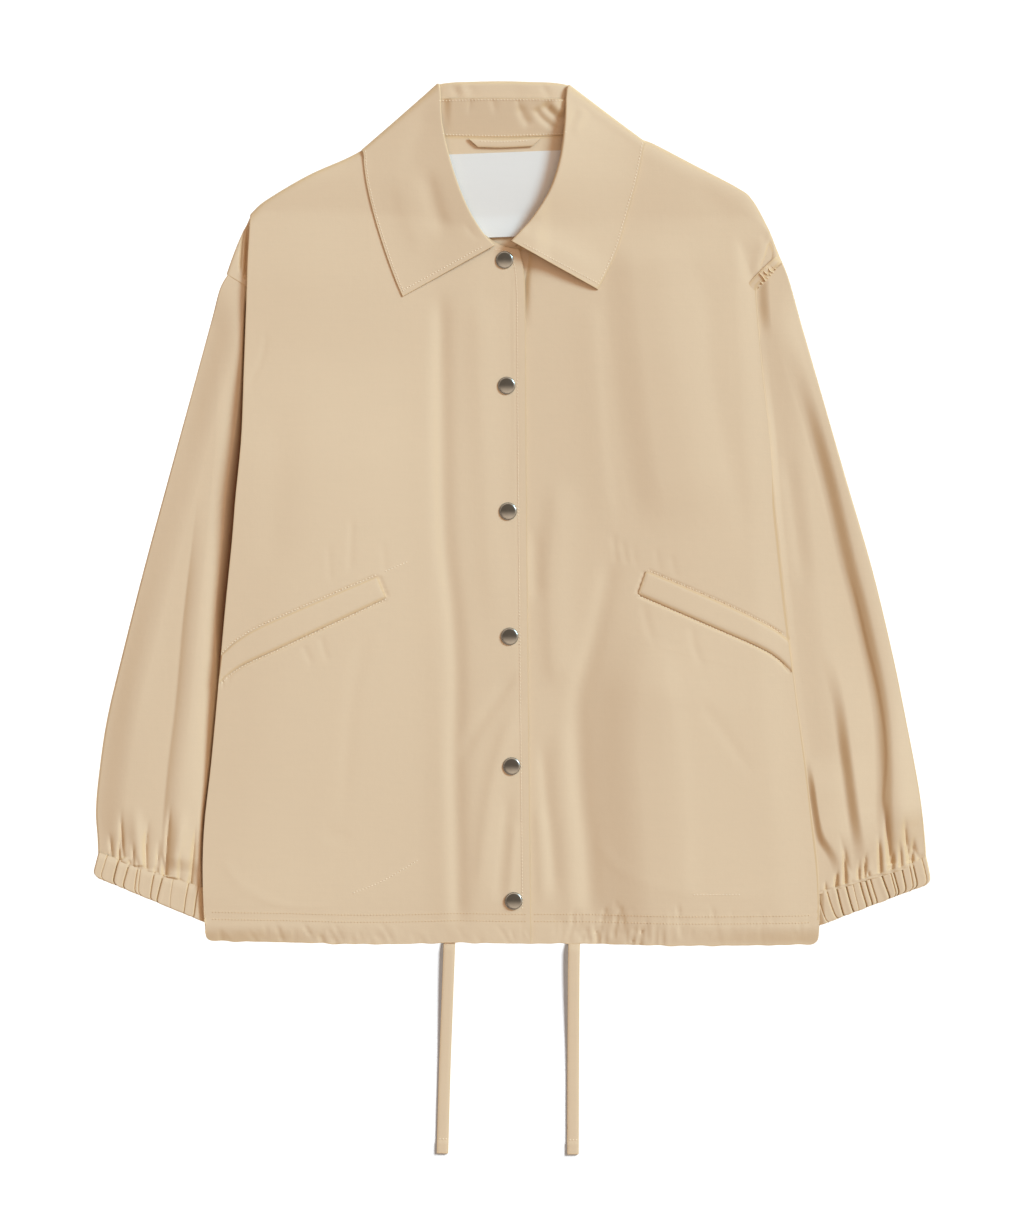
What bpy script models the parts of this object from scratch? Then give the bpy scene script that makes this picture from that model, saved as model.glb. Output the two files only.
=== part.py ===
"""Short snap-front jacket of thin cotton cloth, laid flat face up with its sleeves beside the body.

The tables are in millimetres and the scene is in metres. +Z is up from the table, +Y points to the
collar, and -X is the wearer's right. Every cloth piece is a closed wall made from its edge curves.
"""
import math
from collections import namedtuple

import bmesh
import bpy
from mathutils import Vector
from mathutils.bvhtree import BVHTree

# Driving sizes
MM = 0.001            # one table unit in metres
CLOTH = 1.2           # wall of one layer of body cloth
COLLAR_CLOTH = 1.6    # wall of the doubled collar
LABEL_CLOTH = 1.0     # wall of the neck label
GAP = 0.3             # space between neighbouring pieces
SEAT = 0.4            # space between a panel and what lies on it
LEAF_SEAT = 0.7       # space between the fronts and the outer edge of the collar
TUCKED = 4.0          # height of a sleeve where it lies under the body
SIDE_LIFT = 4.7       # height of the back panel over the tucked sleeves
NECK_LIFT = 2.5       # height of the back panel over the turned-down collar
EASE = 1.7            # air between the front and back panels
SIDE_PUFF = 1.5       # extra air beside the side folds
ROLL = 14.0           # width of the rounded edge of a front panel
BACK_INSET = 3.2      # how far the back panel stays inside the outline
HEM_BAND = 24.0       # height of the drawstring casing
PUCKER = 0.8          # height of the hem gathers
SNAP_RADIUS = 7.4
SNAP_HEIGHT = 2.0
TAPE_WIDTH = 9.4
TAPE_CLOTH = 1.5

# Finishes: linear colour, roughness and metallic of each material
Finish = namedtuple("Finish", "colour roughness metallic")
COTTON = Finish((0.70, 0.53, 0.36, 1.0), 0.85, 0.0)
COTTON_DARK = Finish((0.64, 0.47, 0.31, 1.0), 0.85, 0.0)
WHITE_CLOTH = Finish((0.74, 0.73, 0.71, 1.0), 0.8, 0.0)
NICKEL = Finish((0.45, 0.43, 0.40, 1.0), 0.35, 1.0)

# Side folds of the body: x of the wearer's right and left edge at a height y
Edge = namedtuple("Edge", "y right left")
BODY_EDGE = [
    Edge(-357.0, -255.4, 256.2),
    Edge(-343.0, -257.9, 258.2),
    Edge(-297.0, -259.6, 256.8),
    Edge(-258.0, -257.9, 252.4),
    Edge(-214.0, -252.8, 247.2),
    Edge(-157.0, -247.3, 239.2),
    Edge(-79.0, -240.2, 230.0),
    Edge(-22.0, -234.4, 223.9),
    Edge(11.0, -231.8, 220.5),
    Edge(61.0, -227.0, 216.7),
    Edge(139.0, -225.1, 208.4),
    Edge(190.0, -225.1, 205.2),
]

# How far a sleeve lies under the body at a height y
Tuck = namedtuple("Tuck", "y depth")
TUCK = [
    Tuck(-330.0, -3.0),
    Tuck(-316.0, -2.4),
    Tuck(-303.0, 0.5),
    Tuck(-288.0, 6.0),
    Tuck(-272.0, 11.5),
    Tuck(-241.0, 17.0),
    Tuck(-186.0, 22.0),
    Tuck(-115.0, 28.0),
    Tuck(-40.0, 33.0),
    Tuck(36.0, 37.0),
    Tuck(154.0, 39.0),
    Tuck(190.0, 38.0),
]

# Outline curves, each a short run of x, y
Spot = namedtuple("Spot", "x y")
HEM = [Spot(-255.4, -356.2), Spot(-178, -361), Spot(0, -361.3), Spot(158, -362), Spot(256.2, -358.7)]
PLACKET = [Spot(16, -361.3), Spot(13.4, -107), Spot(11.8, 61), Spot(11.3, 162), Spot(10.1, 200),
           Spot(5.9, 220.9)]
UNDERLAP = [Spot(-14, -361.3), Spot(-15, 0), Spot(-16, 219.2)]
NECK_RIGHT = [Spot(5.9, 220.9), Spot(-14.3, 227), Spot(-39.5, 250), Spot(-60.5, 285), Spot(-79, 316)]
NECK_LEFT = [Spot(-16, 219.2), Spot(0, 221), Spot(15, 235), Spot(36, 258.7), Spot(52, 288), Spot(65.5, 318)]
NECK_BACK = [Spot(-79, 316), Spot(-55, 315.8), Spot(-8.4, 315), Spot(42.8, 316.5), Spot(65.5, 318)]
SHOULDER_RIGHT = [Spot(-79, 316), Spot(-122, 300.5), Spot(-140, 298), Spot(-171.4, 283.1),
                  Spot(-205.8, 262.9), Spot(-217.6, 252.8), Spot(-224.3, 242.8), Spot(-232.7, 222.6),
                  Spot(-238.6, 199.9)]
SHOULDER_LEFT = [Spot(65.5, 318), Spot(108, 305), Spot(128, 303), Spot(150.4, 293.2), Spot(189, 273),
                 Spot(201.6, 262.9), Spot(214.2, 242.8), Spot(222.6, 222.6), Spot(227.6, 210)]

# Largest soft folds of the fronts: ends, half width and height of each
Fold = namedtuple("Fold", "x0 y0 x1 y1 width height")
FRONT_FOLDS = [
    Fold(-62, 185, -48, -352, 9, -1.0),
    Fold(-81, 170, -73, -350, 13, 1.2),
    Fold(-24, 195, -18, -350, 15, 1.0),
    Fold(-134, 225, -143, -45, 26, 1.2),
    Fold(-140, -150, -130, -340, 22, 1.0),
    Fold(86, 232, 91, 20, 11, -1.0),
    Fold(64, 185, 40, -190, 15, 1.7),
    Fold(78, -70, 56, -180, 11, -1.0),
    Fold(44, -200, 53, -350, 14, 1.4),
    Fold(120, 185, 134, -45, 24, 1.2),
    Fold(130, -150, 145, -340, 22, 1.0),
]

# Sleeve sections from armhole to cuff: outer end, y of the inner end, loft and gather height
Station = namedtuple("Station", "outer_x outer_y inner_y loft gather")
SLEEVE_RIGHT = [
    Station(-234.0, 206.0, 178.0, 0.0, 0.0),
    Station(-244.5, 190.0, 160.0, 0.4, 0.0),
    Station(-252.4, 161.0, 125.0, 1.4, 0.0),
    Station(-269.0, 100.0, 66.0, 1.9, 0.0),
    Station(-289.0, 27.0, 0.0, 2.1, 0.0),
    Station(-309.0, -47.0, -68.0, 2.2, 0.0),
    Station(-327.5, -120.0, -136.0, 2.1, 0.1),
    Station(-340.2, -174.0, -188.0, 1.9, 0.3),
    Station(-346.9, -220.0, -238.0, 1.6, 0.6),
    Station(-349.4, -250.0, -272.0, 1.2, 0.9),
    Station(-348.0, -273.0, -300.0, 0.8, 1.2),
    Station(-347.0, -285.4, -314.6, 0.6, 1.2),
]
SLEEVE_LEFT = [
    Station(223.5, 215.0, 179.0, 0.0, 0.0),
    Station(232.5, 196.0, 160.0, 0.4, 0.0),
    Station(243.5, 157.0, 122.0, 1.4, 0.0),
    Station(260.0, 100.0, 66.0, 1.9, 0.0),
    Station(281.0, 27.0, -1.0, 2.1, 0.0),
    Station(302.5, -47.0, -70.0, 2.2, 0.0),
    Station(320.0, -120.0, -138.0, 2.1, 0.1),
    Station(331.0, -174.0, -190.0, 1.9, 0.3),
    Station(340.2, -222.0, -240.0, 1.6, 0.6),
    Station(344.4, -250.0, -275.0, 1.2, 0.9),
    Station(347.0, -275.0, -303.0, 0.8, 1.2),
    Station(347.8, -289.4, -316.6, 0.6, 1.2),
]
SLEEVE_GATHERS = 9
UNDER_STEPS = 8       # spaces across the flat underside of a sleeve or cuff

# Cuff bands: ends of the seam line and of the lower edge
Cuff = namedtuple("Cuff", "outer_x outer_y inner_x inner_y")
CUFF_RIGHT = [Cuff(-347.0, -285.9, -261.4, -315.3), Cuff(-349.6, -296.0, -262.0, -330.0),
              Cuff(-351.2, -304.9, -260.6, -343.0)]
CUFF_LEFT = [Cuff(347.9, -289.9, 260.0, -317.3), Cuff(350.4, -301.0, 261.0, -332.0),
             Cuff(351.2, -311.0, 261.4, -345.6)]
CUFF_PLEATS = 13
CUFF_HEIGHT = 4.6
PLEAT = 1.4

# Collar sections from the right front round the neck to the left front.
# turn: 0 lies on the fronts, 1 lies under the back; spring: air under the leaf at its roll
Section = namedtuple("Section", "roll_x roll_y edge_x edge_y turn roll spring inner")
COLLAR = [
    Section(-14.3, 224.3, -91.6, 181.4, 0.00, 2.0, 4.4, 2.0),
    Section(-24.0, 234.5, -98.0, 196.5, 0.00, 2.2, 4.6, 3.0),
    Section(-36.0, 254.0, -106.5, 220.0, 0.00, 2.2, 4.8, 3.0),
    Section(-46.0, 278.0, -115.0, 247.5, 0.00, 2.2, 4.8, 3.0),
    Section(-53.8, 304.0, -121.0, 272.0, 0.00, 2.2, 4.8, 3.0),
    Section(-58.5, 328.0, -123.8, 290.0, 0.00, 2.0, 4.2, 3.0),
    Section(-59.6, 349.0, -124.2, 299.0, 0.00, 1.6, 3.4, 3.0),
    Section(-58.6, 356.0, -123.8, 301.4, 0.20, 1.4, 3.0, 3.0),
    Section(-58.6, 356.0, -123.8, 301.4, 0.50, 1.4, 3.0, 3.0),
    Section(-58.6, 356.0, -123.8, 301.4, 0.80, 1.4, 3.0, 3.0),
    Section(-57.0, 358.0, -119.0, 298.0, 1.00, 1.6, 3.0, 4.0),
    Section(-50.0, 360.8, -94.0, 291.0, 1.00, 2.0, 3.0, 9.0),
    Section(-36.0, 361.4, -60.0, 290.0, 1.00, 2.1, 3.0, 13.0),
    Section(-8.4, 362.2, -8.4, 290.0, 1.00, 2.1, 3.0, 13.6),
    Section(20.0, 361.2, 44.0, 290.0, 1.00, 2.1, 3.0, 13.0),
    Section(35.0, 360.4, 80.0, 292.0, 1.00, 2.0, 3.0, 9.0),
    Section(43.0, 357.0, 105.0, 303.0, 1.00, 1.6, 3.0, 4.0),
    Section(44.6, 354.8, 109.8, 307.9, 0.80, 1.4, 3.0, 3.0),
    Section(44.6, 354.8, 109.8, 307.9, 0.50, 1.4, 3.0, 3.0),
    Section(44.6, 354.8, 109.8, 307.9, 0.20, 1.4, 3.0, 3.0),
    Section(44.8, 347.0, 109.6, 303.0, 0.00, 1.6, 3.4, 3.0),
    Section(43.6, 325.0, 108.0, 294.0, 0.00, 2.0, 4.2, 3.0),
    Section(39.5, 296.0, 104.0, 276.0, 0.00, 2.2, 4.8, 3.0),
    Section(31.0, 270.0, 97.4, 252.8, 0.00, 2.2, 4.8, 3.0),
    Section(17.5, 248.0, 88.6, 222.0, 0.00, 2.2, 4.6, 3.0),
    Section(6.0, 235.0, 79.5, 201.5, 0.00, 2.2, 4.6, 3.0),
    Section(-0.8, 227.6, 72.2, 187.3, 0.00, 2.0, 4.4, 2.0),
]
ROLL_STEPS = 4
LEAF_STEPS = 5

# Collar stand across the back of the neck
STAND_LOW = [Spot(-60, 316.2), Spot(-8.4, 315.4), Spot(48, 317.2)]
STAND_HIGH = [Spot(-60, 344.4), Spot(-8.4, 344.4), Spot(48, 343.6)]
STAND_RISE = (3.2, 5.0)

# Small pieces
WELT_RIGHT = ([Spot(-113, -53.5), Spot(-201.8, -92.1), Spot(-227.6, -106.3), Spot(-239.5, -116.6)],
              [Spot(-105.8, -70.9), Spot(-189, -110), Spot(-227.6, -128.1), Spot(-241.5, -139)])
WELT_LEFT = ([Spot(112.6, -49.1), Spot(176.8, -76.7), Spot(215.4, -95.8), Spot(228.5, -104.8)],
             [Spot(106.1, -67.7), Spot(163.8, -92.7), Spot(215.4, -115.9), Spot(231, -129.2)])
LABEL = ([Spot(-60, 300.2), Spot(48, 304.4)], [Spot(-57.5, 229.7), Spot(50.5, 233.9)])
LOOP_PATH = [Spot(-34.8, 312.6), Spot(-29.2, 308.2), Spot(-6, 307.6), Spot(17.4, 308.6), Spot(22.6, 313.4)]
LOOP_WIDTH = 4.4
LOOP_CLOTH = 1.2
SNAPS = [Spot(-6.3, 212.1), Spot(-4.6, 106.7), Spot(-3.4, 1.3), Spot(-2.1, -103.7), Spot(-0.4, -212.5),
         Spot(1.3, -325.5)]
TAPE_RIGHT = [Spot(-54.6, -362.0), Spot(-55.3, -385), Spot(-57.4, -465), Spot(-59.2, -537.6)]
TAPE_LEFT = [Spot(51.2, -362.2), Spot(50.8, -385), Spot(50.4, -465), Spot(50.0, -538.4)]


# Curves
def ramp(value, low, high):
    """Smooth step from 0 at low to 1 at high."""
    t = min(1.0, max(0.0, (value - low) / (high - low)))
    return t * t * (3 - 2 * t)


def mix(a, b, t):
    return a + (b - a) * t


def along(rows, value, column):
    """One column of a table at a value of its first column, with smooth slopes."""
    keys = [row[0] for row in rows]
    values = [getattr(row, column) for row in rows]
    value = min(keys[-1], max(keys[0], value))
    i = max(k for k in range(len(keys) - 1) if keys[k] <= value)
    slopes = []
    for k in (i, i + 1):
        a, b = max(0, k - 1), min(len(keys) - 1, k + 1)
        slopes.append((values[b] - values[a]) / (keys[b] - keys[a]))
    step = keys[i + 1] - keys[i]
    t = (value - keys[i]) / step
    return ((2 * t ** 3 - 3 * t ** 2 + 1) * values[i] + (t ** 3 - 2 * t ** 2 + t) * step * slopes[0]
            + (3 * t ** 2 - 2 * t ** 3) * values[i + 1] + (t ** 3 - t ** 2) * step * slopes[1])


def spline(spots, steps=12):
    """Smooth line through the spots."""
    points = [Vector(spot[:2]) for spot in spots]
    line = []
    for i in range(len(points) - 1):
        before = points[max(0, i - 1)]
        after = points[min(len(points) - 1, i + 2)]
        pull_a = (points[i + 1] - before) * 0.5
        pull_b = (after - points[i]) * 0.5
        for k in range(steps):
            t = k / steps
            line.append(points[i] * (2 * t ** 3 - 3 * t ** 2 + 1) + pull_a * (t ** 3 - 2 * t ** 2 + t)
                        + points[i + 1] * (3 * t ** 2 - 2 * t ** 3) + pull_b * (t ** 3 - t ** 2))
    line.append(points[-1])
    return line


def join(*lines):
    """Lines end to end, the shared ends kept once."""
    whole = list(lines[0])
    for line in lines[1:]:
        whole += line[1:]
    return whole


def walk(line, fraction):
    """Point at a fraction of the length of a line."""
    lengths = [(b - a).length for a, b in zip(line, line[1:])]
    left = fraction * sum(lengths)
    for a, length in zip(range(len(lengths)), lengths):
        if left <= length or a == len(lengths) - 1:
            return line[a].lerp(line[a + 1], min(1.0, left / length))
        left -= length


def span(line):
    """Length of a line."""
    return sum((b - a).length for a, b in zip(line, line[1:]))


def patch(hem, top, start, end, across, up):
    """Grid of points between four edge lines, at the given fractions across and up."""
    corner = hem[0], hem[-1], top[0], top[-1]
    grid = []
    for v in up:
        row = []
        for u in across:
            point = walk(hem, u) * (1 - v) + walk(top, u) * v
            point += walk(start, v) * (1 - u) + walk(end, v) * u
            point -= (corner[0] * (1 - u) + corner[1] * u) * (1 - v)
            point -= (corner[2] * (1 - u) + corner[3] * u) * v
            row.append(point)
        grid.append(row)
    return grid


# Heights
def edge_x(side, y):
    return along(BODY_EDGE, y, "right" if side < 0 else "left")


def inside(x, y):
    """Distance of a point inside the nearer side fold."""
    side = -1 if x < 0 else 1
    return side * (edge_x(side, y) - x)


def lift(x, y):
    """Height of the underside of the back panel above the table."""
    depth = along(TUCK, y, "depth")
    sleeve = 1 - ramp(inside(x, y), depth + 7, depth + 46)
    sleeve *= ramp(y, -352, -312) * (1 - ramp(y, 216, 262))
    return max(SIDE_LIFT * sleeve, NECK_LIFT * ramp(y, 226, 286))


def puff(x, y):
    """Air between the front and back panels."""
    air = EASE
    depth = inside(x, y)
    air += SIDE_PUFF * (1 - ramp(depth, 26, 90))
    for fold in FRONT_FOLDS:
        run = Vector((fold.x1 - fold.x0, fold.y1 - fold.y0))
        place = Vector((x - fold.x0, y - fold.y0))
        t = place.dot(run) / run.length_squared
        if 0 < t < 1:
            across = (place - run * t).length / fold.width
            air += fold.height * math.exp(-across * across) * ramp(t, 0, 0.25) * (1 - ramp(t, 0.75, 1))
    hem = ramp(y, -362, -362 + 2 * HEM_BAND)
    return air * (0.35 + 0.65 * hem)


def lap(x):
    """Extra height of the right front where it lies on the underlap of the left front."""
    return (CLOTH + GAP) * ramp(x, -75, -26)


def front_top(x, y):
    """Upper face of the fronts away from their rounded edges."""
    over = lap(x) * (1 - ramp(x, 18, 34))
    return lift(x, y) + 2 * CLOTH + GAP + puff(x, y) + over


# Walls and tubes
def normals(grid):
    """Upward normal at each point of a grid."""
    rows, columns = len(grid), len(grid[0])
    result = []
    for r in range(rows):
        line = []
        for c in range(columns):
            along_row = grid[r][min(columns - 1, c + 1)] - grid[r][max(0, c - 1)]
            along_column = grid[min(rows - 1, r + 1)][c] - grid[max(0, r - 1)][c]
            normal = along_row.cross(along_column).normalized()
            line.append(normal if normal.z > 0 else -normal)
        result.append(line)
    return result


def moved(grid, distance):
    """Copy of a grid moved out along its normals."""
    return [[p + n * distance for p, n in zip(points, outs)] for points, outs in zip(grid, normals(grid))]


def finish(name, points, faces, look):
    """Make a named object from points in millimetres."""
    mesh = bpy.data.meshes.new(name)
    mesh.from_pydata([p * MM for p in points], [], faces)
    work = bmesh.new()
    work.from_mesh(mesh)
    bmesh.ops.recalc_face_normals(work, faces=work.faces)
    work.to_mesh(mesh)
    work.free()
    material = bpy.data.materials.new(name)
    material.use_nodes = True
    shader = material.node_tree.nodes["Principled BSDF"]
    shader.inputs["Base Color"].default_value = look.colour
    shader.inputs["Roughness"].default_value = look.roughness
    shader.inputs["Metallic"].default_value = look.metallic
    mesh.materials.append(material)
    thing = bpy.data.objects.new(name, mesh)
    bpy.context.collection.objects.link(thing)
    return thing


def wall(name, upper, lower, look):
    """Closed sheet between two grids of the same size."""
    rows, columns = len(upper), len(upper[0])
    points = [p for row in upper for p in row] + [p for row in lower for p in row]
    half = rows * columns
    faces = []
    for r in range(rows - 1):
        for c in range(columns - 1):
            a = r * columns + c
            quad = (a, a + 1, a + columns + 1, a + columns)
            faces.append(quad)
            faces.append(tuple(half + k for k in reversed(quad)))
    rim = list(range(columns - 1))
    rim += [r * columns + columns - 1 for r in range(rows - 1)]
    rim += [half - 1 - c for c in range(columns - 1)]
    rim += [(rows - 1 - r) * columns for r in range(rows - 1)]
    for a, b in zip(rim, rim[1:] + rim[:1]):
        faces.append((b, a, half + a, half + b))
    return finish(name, points, faces, look)


def tube(name, outer, inner, look):
    """Closed tube wall between an outer and an inner run of rings."""
    count, size = len(outer), len(outer[0])
    points = [p for ring in outer for p in ring] + [p for ring in inner for p in ring]
    half = count * size
    faces = []
    for r in range(count - 1):
        for c in range(size):
            d = (c + 1) % size
            quad = (r * size + c, r * size + d, (r + 1) * size + d, (r + 1) * size + c)
            faces.append(quad)
            faces.append(tuple(half + k for k in reversed(quad)))
    for r in (0, count - 1):
        for c in range(size):
            d = (c + 1) % size
            faces.append((r * size + c, r * size + d, half + r * size + d, half + r * size + c))
    return finish(name, points, faces, look)


# Body panels
def steps(length, near, far, count):
    """Fractions of a length with extra rows at the given distances from its two ends."""
    start = [d / length for d in near]
    end = [1 - d / length for d in far]
    low, high = start[-1], end[0]
    middle = [mix(low, high, k / count) for k in range(1, count)]
    return start + middle + end


def hem_line(x_from, x_to, count=30):
    """Part of the hem between two places."""
    rows = sorted(HEM)
    return [Vector((x, along(rows, x, "y"))) for x in (mix(x_from, x_to, k / count) for k in range(count + 1))]


def side_line(side, tip, count=40):
    """Side fold from the hem up, then out along the armhole seam to the tip of the shoulder."""
    low = -356.2 if side < 0 else -358.7
    line = [Vector((edge_x(side, y), y)) for y in (mix(low, 190, k / count) for k in range(count + 1))]
    return line + [Vector(tip[:2])]


def rim(side, shoulder):
    """Outline from the hem corner up the side and over the shoulder to the neck, and its tip's place."""
    up = side_line(side, shoulder[-1])
    return join(up, list(reversed(spline(shoulder)))), len(up) - 1


def inset(line, distance):
    """Line moved to its right-hand side."""
    result = []
    for k, p in enumerate(line):
        tangent = (line[min(len(line) - 1, k + 1)] - line[max(0, k - 1)]).normalized()
        result.append(p + Vector((tangent.y, -tangent.x)) * distance)
    return result


def front(name, side, inner_spots, neck, shoulder):
    """One front panel, its outer and shoulder edges rounded down over the back panel."""
    inner = spline(inner_spots)
    outer = side_line(side, shoulder[-1])
    hem = hem_line(inner[0].x, outer[0].x)
    inner[0] = hem[0]
    outer[0] = hem[-1]
    top = join(spline(neck), spline(shoulder))
    neck_share = span(spline(neck)) / span(top)
    width, height = 262.0, 575.0
    across = steps(width, (0,), (ROLL, 8, 4, 1.5, 0), 22)
    up = steps(height, (0, 8, 16, HEM_BAND, 34), (ROLL, 8, 4, 1.5, 0), 12)
    lower = []
    for v, row in zip(up, patch(hem, top, inner, outer, across, up)):
        line = []
        for k, (u, p) in enumerate(zip(across, row)):
            from_top = (1 - v) * height + ROLL * (1 - ramp(u, neck_share + 0.02, neck_share + 0.12))
            shore = min((1 - u) * width, from_top) / ROLL
            round_off = math.sqrt(1 - (1 - min(1.0, shore)) ** 2)
            air = CLOTH + GAP - 0.1 + puff(p.x, p.y)
            gather = PUCKER * (1 - ramp(v * height, 8, HEM_BAND + 6)) * (k % 2) * ramp(shore, 0, 1)
            if side < 0:
                air += lap(p.x)
            else:
                gather *= ramp(p.x, 18, 36)
            line.append(Vector((p.x, p.y, lift(p.x, p.y) + 0.1 + air * round_off + gather)))
        lower.append(line)
    upper = moved(lower, CLOTH)
    wall(name, upper, lower, COTTON)
    return upper


def back(name):
    """Back panel under the fronts, raised over the tucked sleeves and the turned-down collar."""
    right, right_tip = rim(-1, SHOULDER_RIGHT)
    left, left_tip = rim(1, SHOULDER_LEFT)
    right, left = inset(right, BACK_INSET), inset(left, -BACK_INSET)
    right[-1], left[-1] = Vector(NECK_BACK[0]), Vector(NECK_BACK[-1])
    hem = [p + Vector((0, 0.8)) for p in hem_line(right[0].x, left[0].x)]
    right[0], left[0] = hem[0], hem[-1]
    top = join(right[right_tip:], spline(NECK_BACK), list(reversed(left[left_tip:])))
    right, left = right[:right_tip + 1], left[:left_tip + 1]
    across = [k / 28 for k in range(29)]
    up = steps(575.0, (0, 8, 16, HEM_BAND, 34, 48), (ROLL, 0), 12)
    lower = [[Vector((p.x, p.y, lift(p.x, p.y))) for p in row]
             for row in patch(hem, top, right, left, across, up)]
    upper = [[p + Vector((0, 0, CLOTH)) for p in row] for row in lower]
    wall(name, upper, lower, COTTON_DARK)
    return upper


# Sleeves and cuffs
def ring(outer, inner, heights, wall_cloth):
    """Flattened ring between two ends, its upper side at the given fractions and heights."""
    run = inner - outer
    length = run.length

    def place(distance, z):
        spot = outer + run * (distance / length)
        return Vector((spot.x, spot.y, z))

    outside, within = [], []
    for fraction, z in heights:
        inset = mix(2.0, length - 2.0, fraction)
        outside.append(place(mix(0.8, length - 0.8, fraction), z))
        within.append(place(inset, z - wall_cloth))
    last, first = heights[-1][1], heights[0][1]
    outside.append(place(length, last * 0.5))
    within.append(place(length - 1.3, last * 0.5))
    for k in range(UNDER_STEPS, -1, -1):
        outside.append(place(mix(0.8, length - 0.8, k / UNDER_STEPS), 0.0))
        within.append(place(mix(2.0, length - 2.0, k / UNDER_STEPS), wall_cloth))
    outside.append(place(0.0, first * 0.5))
    within.append(place(1.3, first * 0.5))
    return outside, within


def sleeve(name, side, stations):
    """Flattened sleeve tube, its inner edge under the body and its end gathered to the cuff."""
    count = 28
    outer_rings, inner_rings = [], []
    for row in stations:
        outer = Vector((row.outer_x, row.outer_y))
        inner = Vector((edge_x(side, row.inner_y) - side * along(TUCK, row.inner_y, "depth"), row.inner_y))
        shown = [k / 60 for k in range(61) if inside(*outer.lerp(inner, k / 60)) < -7]
        shown = max(shown) if shown else 0.0
        heights = []
        for k in range(count + 1):
            f = k / count
            z = TUCKED
            if f < shown:
                t = f / shown
                z += row.loft * math.sin(math.pi * t) ** 0.7
                z += row.gather * (0.5 - 0.5 * math.cos(2 * math.pi * SLEEVE_GATHERS * t))
            heights.append((f, z))
        outside, within = ring(outer, inner, heights, CLOTH)
        outer_rings.append(outside)
        inner_rings.append(within)
    tube(name, outer_rings, inner_rings, COTTON)


def cuff(name, rows):
    """Short elastic band, its upper side in pleats."""
    count = 4 * CUFF_PLEATS
    outer_rings, inner_rings = [], []
    for row in rows:
        heights = []
        for k in range(count + 1):
            f = k / count
            pleat = 0.5 - 0.5 * math.cos(2 * math.pi * CUFF_PLEATS * f)
            heights.append((f, CUFF_HEIGHT - 1.2 * abs(2 * f - 1) ** 3 + PLEAT * pleat))
        outside, within = ring(Vector(row[:2]), Vector(row[2:]), heights, CLOTH)
        outer_rings.append(outside)
        inner_rings.append(within)
    tube(name, outer_rings, inner_rings, COTTON)


# Collar
def hairpin(section, width):
    """Middle line of the folded collar: inner limb, roll and leaf, as distance out and depth."""
    line = [(section.inner, -2 * section.roll), (section.inner * 0.5, -2 * section.roll)]
    for k in range(ROLL_STEPS + 1):
        angle = math.pi * k / ROLL_STEPS
        line.append((-section.roll * math.sin(angle), -section.roll * (1 + math.cos(angle))))
    line += [(width * k / LEAF_STEPS, 0.0) for k in range(1, LEAF_STEPS + 1)]
    return [Vector(p) for p in line]


def offset(line, distance):
    """Line moved sideways in its plane."""
    result = []
    for k, p in enumerate(line):
        tangent = line[min(len(line) - 1, k + 1)] - line[max(0, k - 1)]
        tangent.normalize()
        result.append(p + Vector((-tangent.y, tangent.x)) * distance)
    return result


def collar_fall(name):
    """Collar from its seam over the roll to the outer edge, round the neck and under the back."""
    upper, lower = [], []
    for section in COLLAR:
        roll = Vector((section.roll_x, section.roll_y))
        edge = Vector((section.edge_x, section.edge_y))
        run = (edge - roll).normalized()
        start = roll + run * (section.roll + COLLAR_CLOTH / 2)
        width = (edge - start).length
        side = -1 if section.edge_x < -8 else 1
        outward = Vector((-side * run.y, side * run.x, 0))
        angle = math.pi * section.turn
        normal = outward * math.sin(angle) + Vector((0, 0, math.cos(angle)))
        rows = []
        middle = hairpin(section, width)
        for line in (offset(middle, COLLAR_CLOTH / 2), offset(middle, -COLLAR_CLOTH / 2)):
            row = []
            for along_run, depth in line:
                spot = start + run * along_run
                fade = max(0.0, 1 - max(0.0, along_run) / width)
                high = front_top(spot.x, spot.y) + LEAF_SEAT + COLLAR_CLOTH / 2 + section.spring * fade ** 1.3
                low = COLLAR_CLOTH / 2
                axis = Vector((spot.x, spot.y, (high + low) / 2))
                row.append(axis + normal * ((high - low) / 2 + depth))
            rows.append(row)
        upper.append(rows[0])
        lower.append(rows[1])
    wall(name, upper, lower, COTTON)


def collar_stand(name):
    """Band across the back of the neck between the neck seam and the collar seam."""
    across = [k / 12 for k in range(13)]
    low, high = spline(STAND_LOW), spline(STAND_HIGH)
    middle = []
    for v in (0.0, 0.35, 0.7, 1.0):
        row = []
        for u in across:
            p = walk(low, u).lerp(walk(high, u), v)
            row.append(Vector((p.x, p.y, mix(STAND_RISE[0], STAND_RISE[1], v))))
        middle.append(row)
    wall(name, moved(middle, CLOTH / 2), moved(middle, -CLOTH / 2), COTTON_DARK)


# Pieces that lie on a panel
def ground(grid):
    """Search tree over the upper face of a panel."""
    columns = len(grid[0])
    points = [p for row in grid for p in row]
    faces = []
    for r in range(len(grid) - 1):
        for c in range(columns - 1):
            a = r * columns + c
            faces.append((a, a + 1, a + columns + 1, a + columns))
    return BVHTree.FromPolygons(points, faces)


def on_panel(tree, spot, distance):
    """Point of a panel above a spot, moved out."""
    place, normal, _, _ = tree.ray_cast(Vector((spot.x, spot.y, 100)), Vector((0, 0, -1)))
    return place + (normal if normal.z > 0 else -normal) * distance


def strip(name, tree, low, high, across, up, cloth, look):
    """Strip of cloth lying on a panel between two edge lines."""
    grids = []
    for distance in (SEAT + cloth, SEAT):
        grid = []
        for v in range(up + 1):
            row = []
            for u in range(across + 1):
                spot = walk(low, u / across).lerp(walk(high, u / across), v / up)
                row.append(on_panel(tree, spot, distance))
            grid.append(row)
        grids.append(grid)
    wall(name, grids[0], grids[1], look)


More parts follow.
